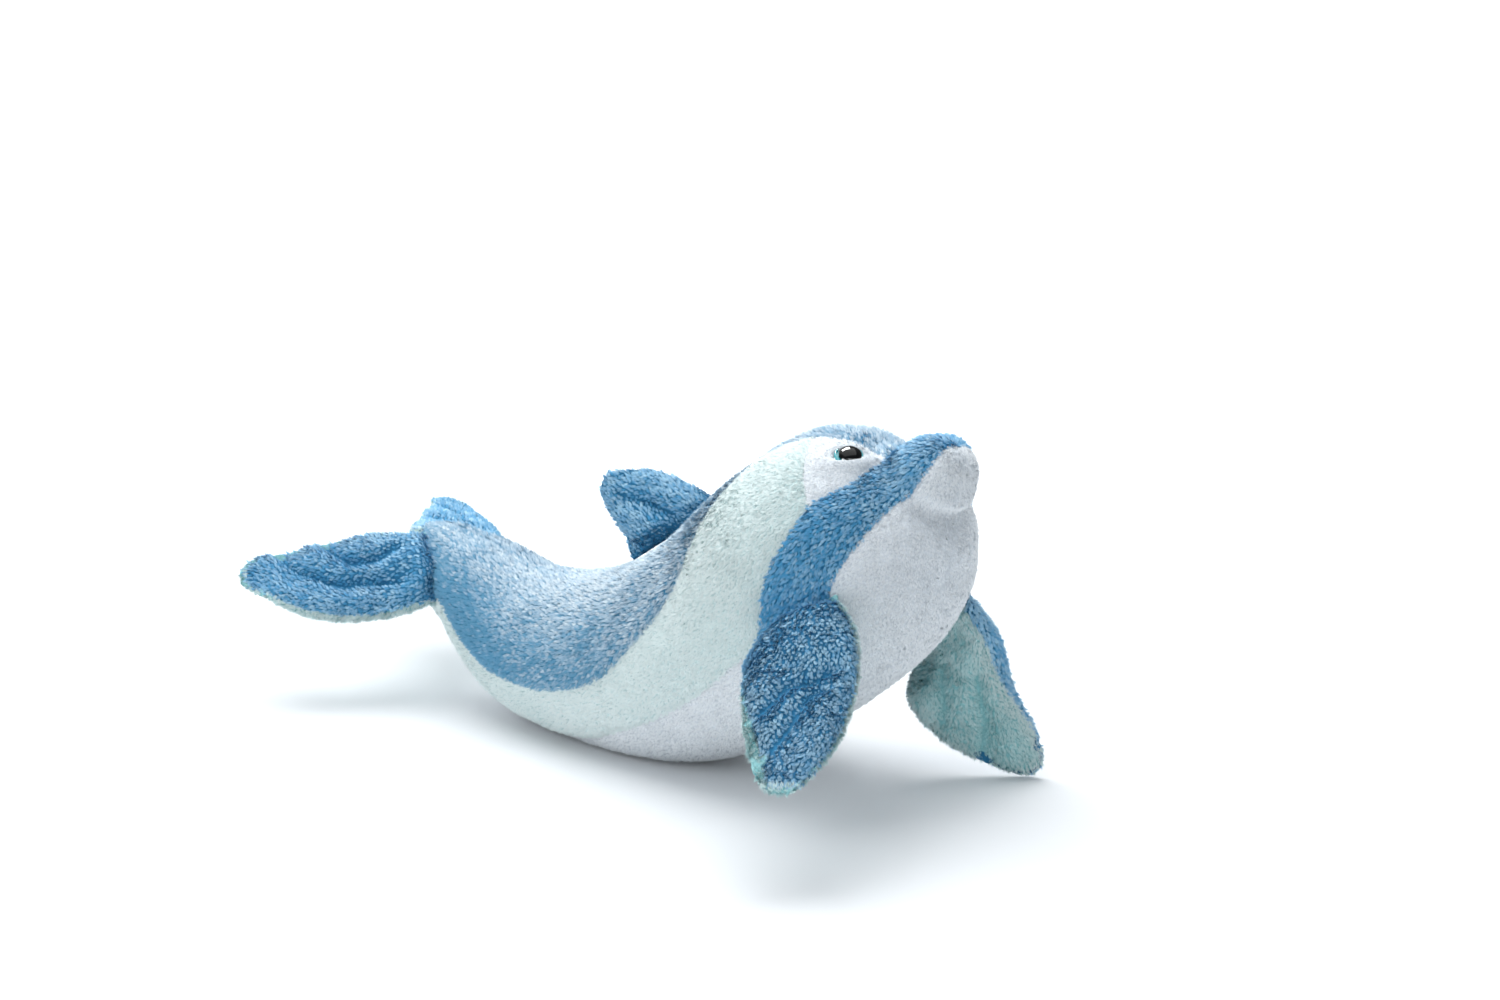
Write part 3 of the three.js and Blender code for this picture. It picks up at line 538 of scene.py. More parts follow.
def cloth_sheet(name, cloth, step):
    """A grid as fine as step, wrapped over a panel, with its edge drawn in where it is sewn."""
    rows = max(int(round(cloth.length / step)), LEAST_ROWS)
    columns = max(int(round(cloth.widths.max() / step)), LEAST_COLUMNS)
    deselect()
    bpy.ops.mesh.primitive_grid_add(x_subdivisions=rows, y_subdivisions=columns, size=1)
    sheet = bpy.context.object
    sheet.name = sheet.data.name = name
    flat = corners_of(sheet.data)
    u, v = np.clip(flat[:, 0] + 0.5, 0, 1), np.clip(flat[:, 1] + 0.5, 0, 1)
    edge = (np.minimum(u, 1 - u) < ON_EDGE) | (np.minimum(v, 1 - v) < ON_EDGE)
    p = cloth.point(u, v)
    gap = np.linalg.norm(p[:, None] - p[edge][None], axis=2).min(1)
    held = edge.copy()
    if isinstance(cloth, LimbCloth):
        share, c = cloth.place(u, v)
        thick = cloth.limb.at(share, c)[2] * crown(c)
        p = cloth.point(u, v, drawn_in(gap, *LIMB_EDGE) * smoothstep(share, 0.02, 0.1))
        p = p - cloth.outward(u, v) * (thick * cloth.hollows(u, v))[:, None]
        held |= cloth.row_distance(cloth.limb.stitches, u, v) < STITCH_HELD
    else:
        depth = drawn_in(gap, *BODY_EDGE)
        if name.startswith("belly"):
            depth = depth + chin_folds(*cloth.place(u, v))
        p = cloth.point(u, v, depth)
        if name.startswith("eye_patch"):
            held |= eye_opening(p, side_of(name))[0] < LIDS_HELD
            p = p + eyelids(p, side_of(name)) * smoothstep(gap, 0, BODY_EDGE[1])[:, None]
        p[:, 2] = np.maximum(p[:, 2], FLOOR_CLEAR)
        held |= p[:, 2] < FLOOR_HELD
    set_corners(sheet.data, p * MM)
    outward = cloth.outward(u, v)
    normals = np.array([vertex.normal for vertex in sheet.data.vertices])
    if (normals * outward).sum() < 0:
        activate(sheet)
        bpy.ops.object.mode_set(mode="EDIT")
        bpy.ops.mesh.select_all(action="SELECT")
        bpy.ops.mesh.flip_normals()
        bpy.ops.object.mode_set(mode="OBJECT")
    group = sheet.vertex_groups.new(name="sewn")
    group.add([int(i) for i in np.flatnonzero(held)], 1.0, "REPLACE")
    return sheet


# How the filling swells cloth: frames, pressure and slack on limbs and on the body, and limits in metres.
STUFFING_FRAMES = 20
LIMB_PRESSURE, BODY_PRESSURE = 4.0, 2.5
LIMB_SLACK, BODY_SLACK = 0.03, 0.006
MOST_SWELL, LEAST_HEIGHT, BACKING = 0.0024, 0.0008, 0.0009


def stuff(sheets):
    """The filling's pressure swells each sheet between its seams and stitches."""
    rest = {sheet.name: corners_of(sheet.data) for sheet in sheets}
    for sheet in sheets:
        cloth = sheet.modifiers.new("Stuffing", "CLOTH")
        limb = any(word in sheet.name for word in ("flipper", "fluke", "fin"))
        settings = cloth.settings
        settings.quality = 6
        settings.mass = 0.3
        settings.tension_stiffness = settings.compression_stiffness = 12
        settings.shear_stiffness = 6
        settings.bending_stiffness = 1.0
        settings.vertex_group_mass = "sewn"
        settings.use_pressure = True
        settings.uniform_pressure_force = LIMB_PRESSURE if limb else BODY_PRESSURE
        settings.shrink_min = -LIMB_SLACK if limb else -BODY_SLACK
        settings.effector_weights.gravity = 0
        cloth.collision_settings.use_collision = False
        cloth.collision_settings.use_self_collision = False
        cloth.point_cache.frame_start, cloth.point_cache.frame_end = 1, STUFFING_FRAMES
    for number in range(1, STUFFING_FRAMES + 1):
        bpy.context.scene.frame_set(number)
    for sheet in sheets:
        apply_modifier(sheet, "Stuffing")
        moved = corners_of(sheet.data) - rest[sheet.name]
        far = np.linalg.norm(moved, axis=1, keepdims=True)
        moved *= MOST_SWELL * np.tanh(far / MOST_SWELL) / np.maximum(far, 1e-9)
        set_corners(sheet.data, rest[sheet.name] + moved)
    bpy.context.scene.frame_set(1)
    for sheet in sheets:
        rounder = sheet.modifiers.new("Rounder", "SUBSURF")
        rounder.levels = rounder.render_levels = 1
        rounder.uv_smooth = "NONE"
        apply_modifier(sheet, "Rounder")
        co = corners_of(sheet.data)
        co[:, 2] = np.maximum(co[:, 2], LEAST_HEIGHT)
        set_corners(sheet.data, co)
        activate(sheet)
        bpy.ops.object.shade_smooth()


def back_cloth(sheet):
    """The sheet gets its backing, so that it is a closed layer of cloth."""
    wall = sheet.modifiers.new("Backing", "SOLIDIFY")
    wall.thickness = BACKING
    wall.offset = -1
    apply_modifier(sheet, "Backing")


# Pile, in millimetres

# Spots tried for each tuft, and a small step over a cloth's map.
TRIES, MAP_STEP = 9, 0.004
# No tuft grows in an eye's opening, along the dart, and along stitches but for the border of a cloth. Along the
# dart and the stitches the darkened ground then shows as a painted shade line.
LIDS_BARE, DART_BARE, STITCH_BARE, STITCH_BORDER = 1.12, 0.5, 0.75, 4
# How far the pile is pulled down beside stitches, hems, seams and the dart. There it is shorter, and darker with
# painted shade.
STITCH_HOLLOW, HEM_HOLLOW, SEAM_HOLLOW, DART_HOLLOW = 2.2, 2.5, 1.1, 1.4
HOLLOW_SHORTENS, HOLLOW_PAINTED_SHADE = 0.5, 0.45
# Over the edges of a cloth the pile stands out as a fringe.
LIMB_FRINGE_REACH, BODY_FRINGE_REACH, FRINGE = 2.2, 1.6, 0.45
LEAN_SPREAD, LENGTH_SPREAD, TUFT_SPREAD, BLADE_SPREAD, TONE_SPREAD = 0.14, 0.12, 0.62, 0.02, 0.1
# Round an eye the pile is shorter and leans in over the rim.
EYE_PILE = dict(start=1.1, fade=0.25, up=0.5, inward=0.9, shorter=0.55)
# How much a seam pulls the pile down and darkens it with painted shade, and how far a strand's normals tilt from
# the cloth's.
SEAM_SHARE, STRAND_TILT = 0.4, 0.35
ROOT_DEPTH, ROOT_CLEAR, TIP_CLEAR = 0.25, 0.35, 0.25
# A strand's map runs from root to tip, and its roots lie a little apart across it.
ROOT_MARK, TIP_MARK, MARK_APART = 0.03, 0.97, 0.004


def surface_spots(mesh, gap, rng):
    """Random spots over a sheet: their points, their normals and their places in the sheet's map."""
    mesh.calc_loop_triangles()
    n = len(mesh.loop_triangles)
    tri, loops = np.empty(n * 3, np.int32), np.empty(n * 3, np.int32)
    mesh.loop_triangles.foreach_get("vertices", tri)
    mesh.loop_triangles.foreach_get("loops", loops)
    tri, loops = tri.reshape(-1, 3), loops.reshape(-1, 3)
    uv = np.empty(len(mesh.loops) * 2, np.float32)
    mesh.uv_layers[0].data.foreach_get("uv", uv)
    uv = uv.reshape(-1, 2).astype(float)
    normals = np.empty(len(mesh.vertices) * 3, np.float32)
    mesh.vertex_normals.foreach_get("vector", normals)
    normals = normals.reshape(-1, 3).astype(float)
    co = corners_of(mesh) * MM_PER_M
    a, b, c = co[tri[:, 0]], co[tri[:, 1]], co[tri[:, 2]]
    area = np.linalg.norm(np.cross(b - a, c - a), axis=1) / 2
    picked = np.repeat(np.arange(n), rng.poisson(area * TRIES / gap ** 2))
    w = rng.random((len(picked), 2))
    w = np.where(w.sum(1, keepdims=True) > 1, 1 - w, w)
    w = np.column_stack((1 - w.sum(1), w))
    point = np.einsum("ij,ijk->ik", w, co[tri[picked]])
    normal = unit(np.einsum("ij,ijk->ik", w, normals[tri[picked]]))
    return point, normal, np.einsum("ij,ijk->ik", w, uv[loops[picked]])


def knit_tufts(at, width, cloth, pile, rng):
    """The spot that is nearest to each place in the rows of the knit."""
    gap = pile["gap"]
    row = at[:, 0] * cloth.length / gap
    i = np.floor(row).astype(int)
    column = (at[:, 1] - 0.5) * width / gap + 0.5 * (i % 2)
    j = np.floor(column).astype(int)
    off = np.hypot(row - i - 0.5, column - j - 0.5) + pile["stray"] * rng.random(len(row))
    order = np.lexsort((off, j, i))
    first = np.ones(len(order), bool)
    first[1:] = (np.diff(i[order]) != 0) | (np.diff(j[order]) != 0)
    return order[first]


def has_pile(name, cloth, point, u, v, width):
    if "eye_patch" in name:
        return eye_opening(point, side_of(name))[0] > LIDS_BARE
    if "belly" in name:
        from_dart, sewn = throat_dart(*cloth.place(u, v))
        return (from_dart > DART_BARE) | (sewn < 0.5)
    if isinstance(cloth, LimbCloth):
        border = np.minimum(v, 1 - v) * width <= STITCH_BORDER
        return (cloth.row_distance(cloth.limb.stitches, u, v) > STITCH_BARE) | border
    return np.ones(len(u), bool)


def strand_mesh(name, verts, lit, marks):
    """One triangle for each strand, with its own normals and its map."""
    strands = len(marks)
    mesh = bpy.data.meshes.new(name)
    mesh.vertices.add(strands * 3)
    mesh.vertices.foreach_set("co", verts.astype(np.float32).ravel())
    mesh.loops.add(strands * 3)
    mesh.loops.foreach_set("vertex_index", np.arange(strands * 3, dtype=np.int32))
    mesh.polygons.add(strands)
    mesh.polygons.foreach_set("loop_start", np.arange(0, strands * 3, 3, dtype=np.int32))
    mesh.update()
    layer = mesh.uv_layers.new(name="OFBake")
    layer.data.foreach_set("uv", marks.astype(np.float32).ravel())
    mesh.validate()
    mesh.normals_split_custom_set_from_vertices(lit.astype(np.float32))
    obj = bpy.data.objects.new(name, mesh)
    bpy.context.scene.collection.objects.link(obj)
    return obj


def grow_pile(sheet, cloth, pile, seed):
    """Tufts in the rows of the knitted ground, each of a few strands that lean with the nap."""
    rng = np.random.default_rng(seed)
    name, gap = sheet.name, pile["gap"]
    point, normal, at = surface_spots(sheet.data, gap, rng)
    width = cloth.width(at[:, 0])
    keep = knit_tufts(at, width, cloth, pile, rng)
    keep = keep[has_pile(name, cloth, point[keep], at[keep, 0], at[keep, 1], width[keep])]
    point, normal, at, width = point[keep], normal[keep], at[keep], width[keep]

    e = MAP_STEP
    u, v = np.clip(at[:, 0], e, 1 - e), np.clip(at[:, 1], e, 1 - e)
    tufts, count = len(u), pile["strands"]
    ahead = unit(cloth.point(u + e, v) - cloth.point(u - e, v))
    across = unit(cloth.point(u, v + e) - cloth.point(u, v - e))
    along = ahead * pile["nap"]
    along = unit(along - normal * (along * normal).sum(1, keepdims=True))
    side = np.cross(normal, along)
    swirl = rng.normal(pile.get("slant", 0.0), pile["swirl"], tufts)[:, None]
    nap = along * np.cos(swirl) + side * np.sin(swirl)
    lean = np.radians(pile["lean"]) + rng.normal(0, LEAN_SPREAD, tufts)[:, None]
    length = pile["length"] * rng.normal(1, LENGTH_SPREAD, tufts)[:, None].clip(0.6, 1.4)
    if isinstance(cloth, LimbCloth):
        limb = cloth.limb
        share, _ = cloth.place(u, v)
        across = unit(limb.at(share, np.ones(tufts))[0] - limb.at(share, -np.ones(tufts))[0])
        ahead = np.broadcast_to(limb.way, across.shape)
        low_seam = np.linalg.norm(point - cloth.point(u, np.zeros(tufts)), axis=1)
        high_seam = np.linalg.norm(point - cloth.point(u, np.ones(tufts)), axis=1)
        reach = LIMB_FRINGE_REACH
        hollow = np.exp(-(cloth.row_distance(limb.stitches, u, v) / STITCH_HOLLOW) ** 2)
        hollow *= smoothstep(np.minimum(v, 1 - v) * width, 2, 6)
        hollow = np.maximum(hollow, np.exp(-(u * cloth.length / HEM_HOLLOW) ** 2))
    else:
        low_seam, high_seam = v * width, (1 - v) * width
        reach = BODY_FRINGE_REACH
        hollow = pile.get("seam", SEAM_SHARE) * np.exp(-(np.minimum(low_seam, high_seam) / SEAM_HOLLOW) ** 2)
        if "belly" in name:
            from_dart, sewn = throat_dart(*cloth.place(u, v))
            hollow = np.maximum(hollow, np.exp(-(from_dart / DART_HOLLOW) ** 2) * sewn)
    over = np.exp(-high_seam / reach) - np.exp(-low_seam / reach)
    ends = np.exp(-(1 - u) * cloth.length / reach) - np.exp(-u * cloth.length / reach)
    length = length * (1 - HOLLOW_SHORTENS * hollow[:, None])
    heading = normal * np.cos(lean) + nap * np.sin(lean)
    if "eye_patch" in name:
        q, _, inward = eye_opening(point, side_of(name))
        near = np.exp(-(np.maximum(q - EYE_PILE["start"], 0) / EYE_PILE["fade"]) ** 2)[:, None]
        lie = EYE_PILE["up"] * normal + EYE_PILE["inward"] * inward
        heading = unit(heading * (1 - near) + lie * near)
        length = length * (1 - EYE_PILE["shorter"] * near)
    tip = point + heading * length
    tip += (across * over[:, None] + ahead * ends[:, None]) * FRINGE

    spread = gap * TUFT_SPREAD * np.sqrt(rng.random((tufts, count, 1)))
    turn = rng.random((tufts, count, 1)) * 2 * np.pi
    root = point[:, None] + along[:, None] * (spread * np.cos(turn))
    root = root + side[:, None] * (spread * np.sin(turn))
    root -= normal[:, None] * ROOT_DEPTH
    ends_at = tip[:, None] + rng.normal(0, pile["loose"], (tufts, count, 3))
    ends_at = ends_at + (root - point[:, None]) * pile["keep"]
    root[..., 2] = np.maximum(root[..., 2], ROOT_CLEAR)
    ends_at[..., 2] = np.maximum(ends_at[..., 2], TIP_CLEAR)
    rise = np.broadcast_to(normal[:, None], root.shape)
    blade = np.cross(rise, ends_at - root)
    blade = unit(blade + rng.normal(0, BLADE_SPREAD, blade.shape)) * pile["breadth"] / 2
    verts = np.stack((root + blade, root - blade, ends_at), 2).reshape(-1, 3) * MM
    # A strand takes the light as the plush under it does.
    lit = unit(rise + STRAND_TILT * unit(np.cross(ends_at - root, blade))).reshape(-1, 3)

    # The map holds the way along a strand, and the tuft's tone with its painted light and shade.
    x, y, z = point.T
    drift = (np.sin(x / 19 + 2 * np.sin(z / 23)) + np.sin(y / 15 + z / 11 + 1.7)
             + np.sin((x + z) / 7.3 + np.sin(y / 9))) / 3
    tone = 0.5 + pile["frost"] * drift + pile["fleck"] * rng.normal(0, 1, tufts)
    # Painted light and shade, by where the tuft lies on its cloth.
    tone = tone + pile["light"](point, u, v)
    # Painted shade in the hollows beside stitches, hems, seams and the dart.
    tone = tone - HOLLOW_PAINTED_SHADE * hollow
    strands = tufts * count
    tone = np.clip(np.repeat(tone, count) + rng.normal(0, TONE_SPREAD, strands), 0.02, 0.98)
    marks = np.empty((strands, 3, 2))
    marks[:, :2, 0], marks[:, 2, 0] = ROOT_MARK, TIP_MARK
    marks[:, 0, 1], marks[:, 1, 1], marks[:, 2, 1] = tone - MARK_APART, tone + MARK_APART, tone
    return strand_mesh(name + "_pile", verts, np.repeat(lit, 3, axis=0), marks)


# Finishes

def rgb(*srgb):
    c = np.asarray(srgb, float) / 255
    return (*np.where(c <= 0.04045, c / 12.92, ((c + 0.055) / 1.055) ** 2.4), 1.0)


def new_material(name):
    mat = bpy.data.materials.new(name)
    mat.use_nodes = True
    nodes = mat.node_tree.nodes
    shader = nodes["Principled BSDF"]
    return mat, nodes, mat.node_tree.links, shader


def new_group(name, inputs, outputs):
    group = bpy.data.node_groups.new(name, "ShaderNodeTree")
    for label, kind in inputs:
        group.interface.new_socket(label, in_out="INPUT", socket_type=kind)
    for label, kind in outputs:
        group.interface.new_socket(label, in_out="OUTPUT", socket_type=kind)
    return group, group.nodes.new("NodeGroupInput"), group.nodes.new("NodeGroupOutput")


def give(node, **values):
    """Set a node's inputs. An underscore stands for the space in a label."""
    for label, value in values.items():
        node.inputs[label.replace("_", " ")].default_value = value


def mix_colour(nodes, links, share, a, b):
    mix = nodes.new("ShaderNodeMix")
    mix.data_type = "RGBA"
    links.new(share, mix.inputs["Factor"])
    links.new(a, mix.inputs["A"])
    links.new(b, mix.inputs["B"])
    return mix.outputs["Result"]


COLOUR, FLOAT = "NodeSocketColor", "NodeSocketFloat"


def pile_tone_group():
    """Colour along a strand, from its shaded root to a tip that is deep or frosted."""
    group, given, out = new_group(
        "pile_tone", (("Root", COLOUR), ("Deep tip", COLOUR), ("Frosted tip", COLOUR)),
        (("Colour", COLOUR),))
    nodes, links = group.nodes, group.links
    place = nodes.new("ShaderNodeUVMap")
    place.uv_map = "OFBake"
    split = nodes.new("ShaderNodeSeparateXYZ")
    links.new(place.outputs["UV"], split.inputs["Vector"])
    rise = nodes.new("ShaderNodeMapRange")
    rise.interpolation_type = "SMOOTHSTEP"
    give(rise, From_Min=0.05, From_Max=0.5)
    links.new(split.outputs["X"], rise.inputs["Value"])
    deep, frosted = given.outputs["Deep tip"], given.outputs["Frosted tip"]
    tip = mix_colour(nodes, links, split.outputs["Y"], deep, frosted)
    strand = mix_colour(nodes, links, rise.outputs["Result"], given.outputs["Root"], tip)
    links.new(strand, out.inputs["Colour"])
    return group


def ground_group():
    """The knitted ground under the pile: short loops in mottled shade."""
    group, given, out = new_group(
        "knit_ground", (("Dark", COLOUR), ("Pale", COLOUR)), (("Colour", COLOUR), ("Height", FLOAT)))
    nodes, links = group.nodes, group.links
    where = nodes.new("ShaderNodeTexCoord")
    loops = nodes.new("ShaderNodeTexVoronoi")
    give(loops, Scale=900)
    links.new(where.outputs["Object"], loops.inputs["Vector"])
    cloud = nodes.new("ShaderNodeTexNoise")
    give(cloud, Scale=160, Detail=4)
    links.new(where.outputs["Object"], cloud.inputs["Vector"])
    blend = nodes.new("ShaderNodeMath")
    blend.operation = "MULTIPLY_ADD"
    links.new(loops.outputs["Distance"], blend.inputs[0])
    blend.inputs[1].default_value = -0.5
    links.new(cloud.outputs["Fac"], blend.inputs[2])
    shade = nodes.new("ShaderNodeMapRange")
    give(shade, From_Min=-0.1, From_Max=0.7)
    links.new(blend.outputs["Value"], shade.inputs["Value"])
    dark, pale = given.outputs["Dark"], given.outputs["Pale"]
    links.new(mix_colour(nodes, links, shade.outputs["Result"], dark, pale), out.inputs["Colour"])
    links.new(shade.outputs["Result"], out.inputs["Height"])
    return group


PILE_TONE, GROUND = pile_tone_group(), ground_group()


def plush(name, root, deep, frosted, ground_painted_shade=0.85):
    """The pair of finishes for one colour of plush: its pile, and its ground, darkened with painted shade between
    the tufts and where stitches and the dart leave it bare.
    """
    pile, nodes, links, shader = new_material(name + "_pile")
    tone = nodes.new("ShaderNodeGroup")
    tone.node_tree = PILE_TONE
    give(tone, Root=rgb(*root), Deep_tip=rgb(*deep), Frosted_tip=rgb(*frosted))
    links.new(tone.outputs["Colour"], shader.inputs["Base Color"])
    give(shader, Roughness=0.85, Specular_IOR_Level=0.12, Sheen_Weight=0.15, Sheen_Roughness=0.5)
    ground, nodes, links, shader = new_material(name + "_ground")
    knit = nodes.new("ShaderNodeGroup")
    knit.node_tree = GROUND
    dark = [ground_painted_shade * x for x in root]
    pale = [(ground_painted_shade + 0.15) * (x + y) / 2 for x, y in zip(root, deep)]
    give(knit, Dark=rgb(*dark), Pale=rgb(*pale))
    links.new(knit.outputs["Colour"], shader.inputs["Base Color"])
    bump = nodes.new("ShaderNodeBump")
    give(bump, Strength=0.5, Distance=0.0004)
    links.new(knit.outputs["Height"], bump.inputs["Height"])
    links.new(bump.outputs["Normal"], shader.inputs["Normal"])
    give(shader, Roughness=0.95, Specular_IOR_Level=0.1)
    return pile, ground


FINISHES = {
    "plush_pale_blue": plush("pale_blue_plush", (76, 142, 182), (102, 168, 204), (234, 246, 252)),
    "plush_blue": plush("blue_plush", (46, 118, 164), (80, 164, 212), (184, 225, 246), 0.8),
    "plush_mist": plush("mist_plush", (204, 230, 232), (222, 241, 241), (246, 252, 251)),
    "plush_white": plush("white_plush", (220, 228, 236), (234, 241, 246), (250, 253, 255)),
    "plush_mint": plush("mint_plush", (138, 202, 208), (188, 233, 235), (234, 250, 250)),
}


# Painted light and shade: how much paler or deeper the tufts' tips are over each cloth, by their points, u and v

def even_light(p, u, v):
    return 0


def back_painted_light(p, u, v):
    """Painted light and shade: the back's tips are paler towards the fin and the neck, and bluer at the tail and
    low on the flank.
    """
    return (-0.3 + 0.4 * smoothstep(p[:, 0], -105, 0) - 0.1 * smoothstep(p[:, 0], 110, 150)
            + 0.25 * smoothstep(v, 0.6, 0.2) * smoothstep(p[:, 0], 135, 100)
            - 0.5 * smoothstep(v, 0.4, 0.95) * smoothstep(p[:, 0], 50, 5))


def band_painted_light(p, u, v):
    """Painted light and shade: the band's tips are deeper at the shoulder and paler towards the top of the beak.
    """
    return 0.3 * smoothstep(p[:, 0], 115, 165) - 0.3


def flipper_painted_light(p, u, v):
    """Painted light and shade: flippers' tips are paler all over, most of all at the shoulder and along the
    trailing edge, and deeper along the other edge.
    """
    return (0.3 + 0.1 * smoothstep(u, 0.35, 0.1) + 0.22 * smoothstep(v, 0.35, 0.05)
            - 0.2 * smoothstep(v, 0.65, 0.95))


def fluke_painted_light(p, u, v):
    """Painted light and shade: a painted highlight runs across the flukes' root and along their high edge, and
    their tips are deeper right at the root and a little deeper all over.
    """
    return (0.2 * np.exp(-((u - 0.24) / 0.08) ** 2) - 0.16 * smoothstep(u, 0.2, 0.05)
            + 0.2 * smoothstep(v, 0.6, 0.95) - 0.1)


# Painted light: the fin's tips are paler all over.
def fin_painted_light(p, u, v):
    return 0.12


def mint_painted_light(p, u, v):
    """Painted light: the mint cloth's tips are palest where it is turned over an edge."""
    return 0.4 * smoothstep(np.minimum(np.minimum(v, 1 - v) / 0.2, (1 - u) / 0.1), 1.0, 0.4)


BLUE_PAINTED_LIGHTS = {"face": band_painted_light, "flipper": flipper_painted_light, "fluke": fluke_painted_light, "back": fin_painted_light}

# Tufts, with their gap, length, breadth and looseness in millimetres and their lean in degrees
PILES = {
    "plush_pale_blue": dict(
        gap=1.5, length=2.1, lean=42, nap=-1, swirl=0.3, slant=0.3, stray=0.15, strands=18, loose=0.2,
        keep=0.4, breadth=0.32, frost=0.12, fleck=0.2, light=back_painted_light),
    "plush_blue": dict(
        gap=1.35, length=2.3, lean=56, nap=-1, swirl=0.4, stray=0.3, strands=17, loose=0.2, keep=0.4,
        breadth=0.32, frost=0.1, fleck=0.27),
    "plush_mist": dict(
        gap=1.1, length=1.8, lean=58, nap=-1, swirl=0.5, stray=0.4, strands=11, loose=0.25, keep=0.8,
        breadth=0.36, frost=0.1, fleck=0.06, seam=0.2, light=even_light),
    "plush_white": dict(
        gap=1.1, length=1.4, lean=60, nap=-1, swirl=0.6, stray=0.4, strands=9, loose=0.2, keep=0.85,
        breadth=0.4, frost=0.08, fleck=0.04, seam=0.2, light=even_light),
    "plush_mint": dict(
        gap=1.15, length=2.0, lean=34, nap=1, swirl=0.5, stray=0.4, strands=12, loose=0.28, keep=0.75,
        breadth=0.3, frost=0.1, fleck=0.1, light=mint_painted_light),
}

# The cloth of body and limbs

slots = {row["node"]: row["material_slot"] for row in frame["record"]["subparts"]}
bodies = frame["record"]["behaviour"]["bodies"]
body_of_node = {node: body for body, nodes in bodies.items() for node in nodes}
cloths = {**body_panels(), **limb_cloths()}
sheets = {}
for name, cloth in cloths.items():
    fine = isinstance(cloth, LimbCloth) or "eye" in name
    sheets[name] = cloth_sheet(name + "_cloth", cloth, LIMB_STEP if fine else BODY_STEP)
stuff(list(sheets.values()))
# Fillings that no one sees go with the cloth over them.
HIDDEN = {"belly_panel": ("body_filling", "granulate_bag"), "back_fin_right": ("back_fin_filling",)}
for word, _ in SIDES:
    HIDDEN[f"flipper_{word}_outer"] = (f"flipper_{word}_filling",)
    HIDDEN[f"fluke_{word}_top"] = (f"fluke_{word}_filling",)
for number, (name, cloth) in enumerate(cloths.items()):
    sheet, slot = sheets[name], slots[name]
    pile_finish, ground_finish = FINISHES[slot]
    pile = dict(PILES[slot])
    if isinstance(cloth, LimbCloth):
        pile["nap"] = 1
    if slot == "plush_blue":
        pile["light"] = BLUE_PAINTED_LIGHTS[name.split("_")[0]]
    fur = grow_pile(sheet, cloth, pile, SEED + number)
    back_cloth(sheet)
    for obj, finish in ((fur, pile_finish), (sheet, ground_finish)):
        obj.data.materials.clear()
        obj.data.materials.append(finish)
        if isinstance(cloth, LimbCloth):
            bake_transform(obj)
        else:
            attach(obj, body_of_node[name])
    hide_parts(name, *HIDDEN.get(name, ()))

# Eyes

def turned_piece(name, profile, seat, offset=0.0):
    """A piece spun from half its outline, in millimetres about the eye's own axis."""
    mesh = bpy.data.meshes.new(name)
    points = [(r * MM, 0, h * MM) for r, h in profile]
    mesh.from_pydata(points, [(k, k + 1) for k in range(len(points) - 1)], [])
    obj = bpy.data.objects.new(name, mesh)
    bpy.context.scene.collection.objects.link(obj)
    activate(obj)
    bpy.ops.object.mode_set(mode="EDIT")
    bpy.ops.mesh.select_all(action="SELECT")
    bpy.ops.mesh.spin(steps=64, angle=2 * np.pi, center=(0, 0, 0), axis=(0, 0, 1))
    bpy.ops.mesh.select_all(action="SELECT")
    bpy.ops.mesh.remove_doubles(threshold=1e-6)
    bpy.ops.mesh.normals_make_consistent(inside=False)
    bpy.ops.object.mode_set(mode="OBJECT")
    place, ahead, across, out = seat
    turn = Matrix((ahead, across, out)).transposed().to_4x4()
    mesh.transform(Matrix.Translation(Vector(place * MM)) @ turn @ Matrix.Translation((offset * MM, 0, 0)))
    activate(obj)
    bpy.ops.object.shade_smooth_by_angle(angle=np.radians(40))
    return obj


def gloss(name, deep, pale, roughness, scale, shine=0.3):
    """Moulded gloss plastic: its colour clouds slightly, and fine scuffs soften its shine."""
    mat, nodes, links, shader = new_material(name)
    where, cloud = nodes.new("ShaderNodeTexCoord"), nodes.new("ShaderNodeTexNoise")
    give(cloud, Scale=scale, Detail=3)
    links.new(where.outputs["Object"], cloud.inputs["Vector"])
    first, second = nodes.new("ShaderNodeRGB"), nodes.new("ShaderNodeRGB")
    first.outputs[0].default_value, second.outputs[0].default_value = rgb(*deep), rgb(*pale)
    clouded = mix_colour(nodes, links, cloud.outputs["Fac"], first.outputs[0], second.outputs[0])
    links.new(clouded, shader.inputs["Base Color"])
    scuff = nodes.new("ShaderNodeMapRange")
    give(scuff, To_Min=roughness * 0.8, To_Max=roughness * 1.4)
    links.new(cloud.outputs["Fac"], scuff.inputs["Value"])
    links.new(scuff.outputs["Result"], shader.inputs["Roughness"])
    give(shader, Specular_IOR_Level=shine)
    return mat


BLACK = gloss("eye_black_gloss", (3, 3, 4), (9, 9, 11), 0.07, 300, 0.1)
IRIS = gloss("eye_turquoise_gloss", (38, 132, 148), (92, 190, 198), 0.16, 500)
WASHER = gloss("washer_natural", (222, 222, 214), (240, 240, 234), 0.42, 200)
